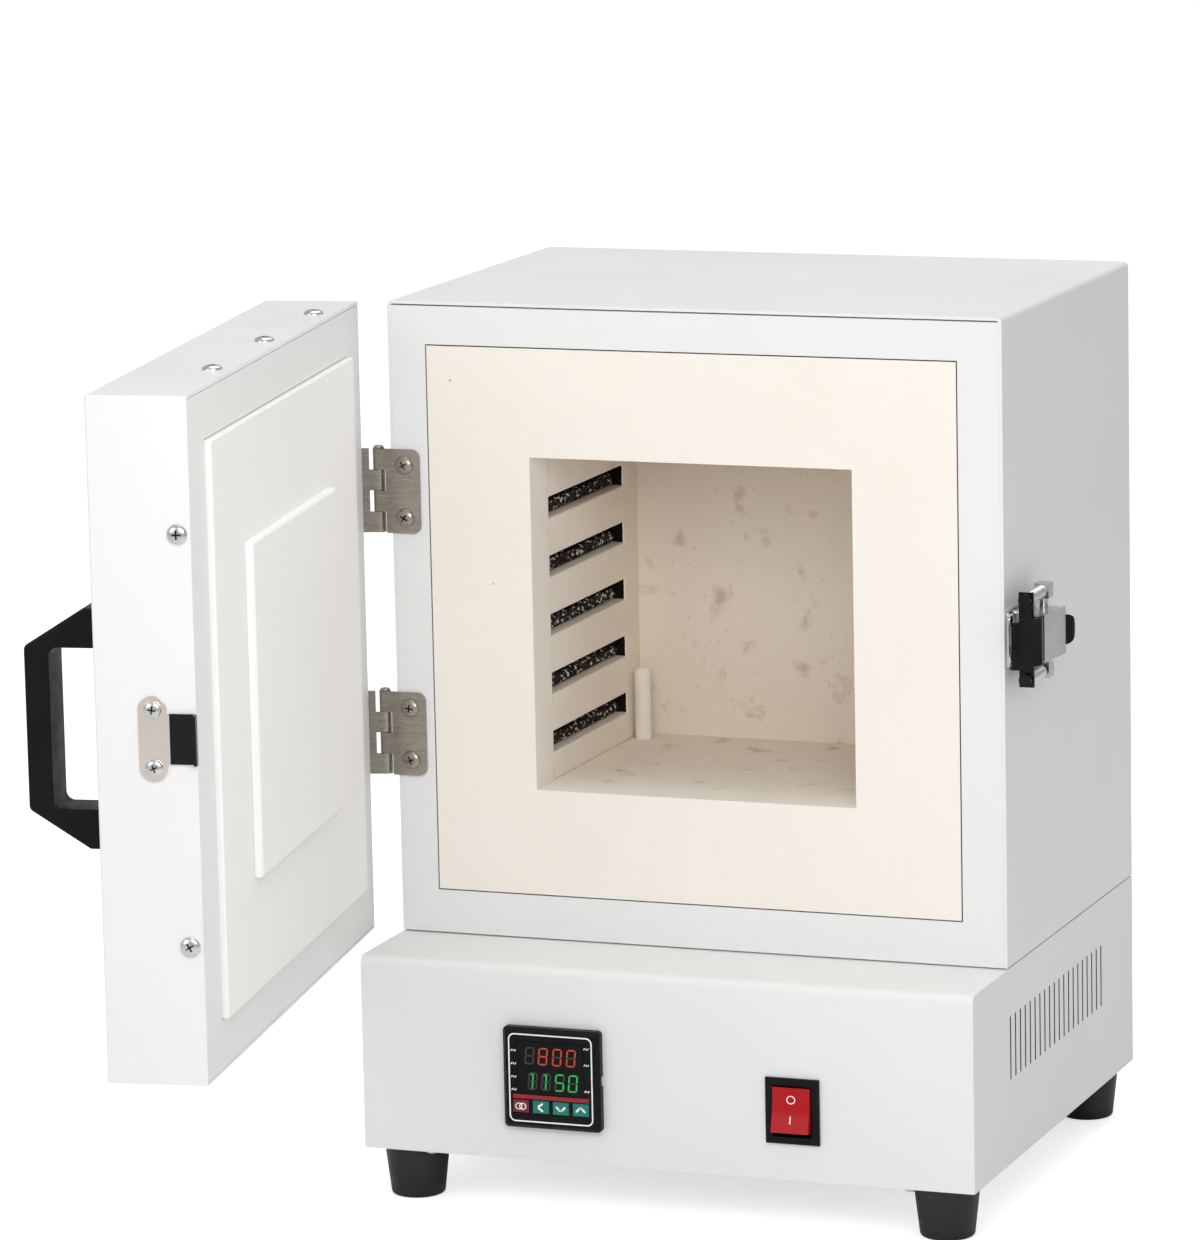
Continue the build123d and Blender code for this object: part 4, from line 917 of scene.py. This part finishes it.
def wind(node, finish, wire, pitch, sides, per_turn, share=1.0):
    """Wound wire in place of every bar of a node that runs along Y.

    With a share below 1 it is thinner than its bar, and lies low and deep in the wall's groove.
    """
    data = bmesh.new()
    mesh = None
    for index, points in enumerate(islands(NODES[node])):
        middle = mean(points)
        y0 = min(p.y for p in points) + wire
        y1 = max(p.y for p in points) - wire
        outer = (max(p.z for p in points) - min(p.z for p in points)) / 2
        slack = outer * (1 - share)
        mesh = mesh or winding(y1 - y0, outer - slack - wire, wire, pitch, sides, per_turn)
        deeper = math.copysign(slack, middle.x - MIDDLE_X)
        spot = Vector((middle.x + deeper, y0, middle.z - slack))
        add_copy(data, mesh, facing(spot, TO_BACK, 1.3 * index))
    finish_piece(node + "_wound", data, BODY_OF[node], finish, 60, (node,))


for side in ("left", "right"):
    wind("heating_coils_" + side, "heating_wire", 0.65 * MM, 2.8 * MM, 8, 14, 0.74)
wind("latch_springs", "bright_steel", 0.55 * MM, 2.3 * MM, 10, 20)
print("coils and springs wound")

# %% [markdown]
# The controller's face: a white outline, two rows of seven-segment digits behind the window, a red bar
# and signs on the keys. Each sign is a thin raised print, a tenth of a millimetre high at most.

# %% Flat prints
case_low, case_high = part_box("controller_case")
FACE_Y = case_low.y
FACE_X = (case_low.x + case_high.x) / 2
FACE_Z = (case_low.z + case_high.z) / 2
PRINT = 0.04 * MM


def raised(data, faces):
    """Lifts flat faces towards the front by the thickness of a print."""
    made = bmesh.ops.extrude_face_region(data, geom=faces)
    moved = [g for g in made["geom"] if isinstance(g, bmesh.types.BMVert)]
    bmesh.ops.translate(data, verts=moved, vec=(0, -PRINT, 0))


def slab(data, corners, y):
    """A flat sign from its outline in X and Z, raised towards the viewer from depth y."""
    verts = [data.verts.new((x, y, z)) for x, z in corners]
    raised(data, [data.faces.new(verts)])


def stroke(data, a, b, wide, y):
    """A straight stroke with pointed ends between two points."""
    start = Vector(a)
    end = Vector(b)
    along = (end - start).normalized() * (wide / 2)
    across = Vector((-along.y, along.x))
    slab(data, [start, start + along + across, end - along + across, end, end - along - across,
                start + along - across], y)


def ring(data, centre, outer, inner, y, segments, stretch):
    """A flat ring made from two circles bridged together and raised."""
    loops = []
    for radius in (outer, inner):
        made = bmesh.ops.create_circle(data, cap_ends=False, segments=segments, radius=radius)["verts"]
        bmesh.ops.rotate(data, verts=made, matrix=Matrix.Rotation(math.pi / 2, 3, "X"))
        bmesh.ops.scale(data, verts=made, vec=(1, 1, stretch))
        bmesh.ops.translate(data, verts=made, vec=(centre[0], y, centre[1]))
        loops += dict.fromkeys(e for v in made for e in v.link_edges)
    raised(data, bmesh.ops.bridge_loops(data, edges=loops)["faces"])


# %% [markdown]
# A thin white line with rounded corners runs round the controller's face. Two rounded loops, one just
# inside the other, are bridged into a ring and raised.

# %% Outline of the face
def rounded(half_w, half_h, radius, steps=6):
    """The corner points of a rounded rectangle about the face's middle."""
    points = []
    for sx, sz, start in ((1, 1, 0), (-1, 1, 90), (-1, -1, 180), (1, -1, 270)):
        for step in range(steps + 1):
            angle = math.radians(start + 90 * step / steps)
            points.append((FACE_X + sx * (half_w - radius) + radius * math.cos(angle),
                           FACE_Z + sz * (half_h - radius) + radius * math.sin(angle)))
    return points


data = bmesh.new()
loops = []
OUTLINE_UP = 0.3 * MM
for half_w, half_h, radius in ((20.8, 21.05, 3.0), (20.15, 20.4, 2.4)):
    verts = [data.verts.new((x, FACE_Y, z + OUTLINE_UP))
             for x, z in rounded(half_w * MM, half_h * MM, radius * MM)]
    loops += [data.edges.new(pair) for pair in zip(verts, verts[1:] + verts[:1])]
raised(data, bmesh.ops.bridge_loops(data, edges=loops)["faces"])
finish_piece("face_outline", data, BODY_OF["controller_case"], "print_white")

# %% [markdown]
# Each figure has seven segments with pointed ends and leans to the right. Lit segments go into one piece
# for each row and unlit ones into a dark piece, so that they glow apart. The 1 is a stem with a flag.

# %% Digits
SEGMENTS = {"0": "abcdef", "1": ("stem", "flag"), "5": "acdfg", "8": "abcdefg", " ": ""}
DIGIT_H = 7.6 * MM
DIGIT_W = 3.9 * MM
STROKE = 0.75 * MM
SLANT = 0.09
RED_XS = (-10.26, -3.64, 3.38, 10.26)
GREEN_XS = (-8.9, -2.3, 4.4, 11.0)
GLASS_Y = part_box("controller_window")[0].y


def digit(lit_data, dark_data, sign, x, z):
    """One seven-segment figure; unlit segments go to the dark piece."""
    w = DIGIT_W / 2
    h = DIGIT_H / 2
    gap = 0.12 * MM
    lines = {
        "a": ((-w + gap, h), (w - gap, h)), "b": ((w, h - gap), (w, gap)), "c": ((w, -gap), (w, -h + gap)),
        "d": ((-w + gap, -h), (w - gap, -h)), "e": ((-w, -gap), (-w, -h + gap)),
        "f": ((-w, h - gap), (-w, gap)), "g": ((-w + gap, 0), (w - gap, 0)),
    }
    if sign == "1":
        lines["stem"] = ((0, h), (0, -h))
        lines["flag"] = ((-0.75 * w, h - 0.5 * w), (0, h))
    for name, ends in lines.items():
        placed = [(x + px + SLANT * pz, z + pz) for px, pz in ends]
        target = lit_data if name in SEGMENTS[sign] else dark_data
        stroke(target, placed[0], placed[1], STROKE, GLASS_Y)


dark = bmesh.new()
for finish, figures, xs, z in (("digit_red", " 800", RED_XS, 11.0), ("digit_green", "1150", GREEN_XS, -1.0)):
    lit = bmesh.new()
    for sign, x in zip(figures, xs):
        digit(lit, dark, sign, FACE_X + x * MM, FACE_Z + z * MM)
    finish_piece(finish + "_row", lit, BODY_OF["controller_window"], finish)
finish_piece("digits_unlit", dark, BODY_OF["controller_window"], "digit_off")

# %% [markdown]
# Below the window runs a dark red bar, and small groups of slanted ticks stand at both sides of it where
# the real face has its lamp names. They are too small to be read, so they are only strokes.

# %% Bar and side ticks
data = bmesh.new()
BAR_Z = FACE_Z - 8.7 * MM
BAR_HALF_W = 18.9 * MM
BAR_HALF_H = 1.0 * MM
slab(data, [(FACE_X + sx * BAR_HALF_W, BAR_Z + sz * BAR_HALF_H)
            for sx, sz in ((-1, -1), (1, -1), (1, 1), (-1, 1))], FACE_Y)
finish_piece("face_bar", data, BODY_OF["controller_case"], "print_red")

TICK_SIDES = ((-18.3, (13.2, 6.9, 0.6, -5.5)), (17.9, (16.0, 8.2, -4.3)))
TICK_PITCH = 0.95 * MM
TICK_UP = 0.55 * MM
data = bmesh.new()
for side_x, rows in TICK_SIDES:
    for z in rows:
        for n in (-1, 0, 1):
            x = FACE_X + side_x * MM + n * TICK_PITCH
            lean = TICK_UP * (0.5 if n else -0.4)
            stroke(data, (x - lean, FACE_Z + z * MM - TICK_UP), (x + lean, FACE_Z + z * MM + TICK_UP),
                   0.42 * MM, FACE_Y)
finish_piece("face_ticks", data, BODY_OF["controller_case"], "print_white")
print("controller face printed")

# %% [markdown]
# The four keys carry a double ring for set, and arrow heads for shift, down and up. Each sign rides on
# its own key, so it moves when the key is pressed.

# %% Signs on the keys
for key in ("key_set", "key_shift", "key_down", "key_up"):
    low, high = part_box(key)
    x = (low.x + high.x) / 2
    z = (low.z + high.z) / 2
    y = low.y
    data = bmesh.new()
    if key == "key_set":
        for s in (-1, 1):
            ring(data, (x + s * 0.95 * MM, z), 1.75 * MM, 1.3 * MM, y + (s - 1) * PRINT / 2, 26, 0.95)
    else:
        way = {"key_shift": (-1, 0), "key_down": (0, -1), "key_up": (0, 1)}[key]
        tip = Vector((x + way[0] * 1.5 * MM, z + way[1] * 1.35 * MM))
        for s in (-1, 1):
            tail = Vector((x - way[0] * 1.2 * MM + s * way[1] * 2.4 * MM,
                           z - way[1] * 1.05 * MM + s * way[0] * 2.0 * MM))
            stroke(data, tail, tip, 0.95 * MM, y)
    finish_piece(key + "_sign", data, BODY_OF[key], "print_white")

# %% [markdown]
# The rocker carries a ring on its upper half and a bar on its lower half. Its front is a shallow valley,
# so each sign is made flat, bent to the valley's radius and turned with the rocker's own tilt.

# %% Signs on the rocker
ROCKER = JOINTS["switch_rocker"]
pivot = Vector(ROCKER["pos_m"])
TILT = math.radians(ROCKER["range_deg"][1] / 2)
ROCKER_MID = 5.0 * MM
ROCKER_END = 6.9 * MM
ROCKER_HALF_L = 10.5 * MM
VALLEY_R = 45.0 * MM
valley_centre = -ROCKER_MID - VALLEY_R / math.cos(math.atan((ROCKER_END - ROCKER_MID) / ROCKER_HALF_L))
turned = Matrix.Translation(pivot) @ Matrix.Rotation(-TILT, 4, "X")
for name, middle in (("rocker_ring", 4.9), ("rocker_bar", -4.4)):
    data = bmesh.new()
    if middle > 0:
        ring(data, (0, middle * MM), 2.15 * MM, 1.7 * MM, 0, 28, 0.9)
    else:
        stroke(data, (0, (middle - 1.9) * MM), (0, (middle + 1.9) * MM), 0.55 * MM, 0)
    for vert in data.verts:
        vert.co.y += valley_centre + math.sqrt(VALLEY_R ** 2 - vert.co.z ** 2) - 0.01 * MM
    bmesh.ops.transform(data, matrix=turned, verts=data.verts)
    finish_piece(name, data, "rocker", "print_white")
print("signs done")
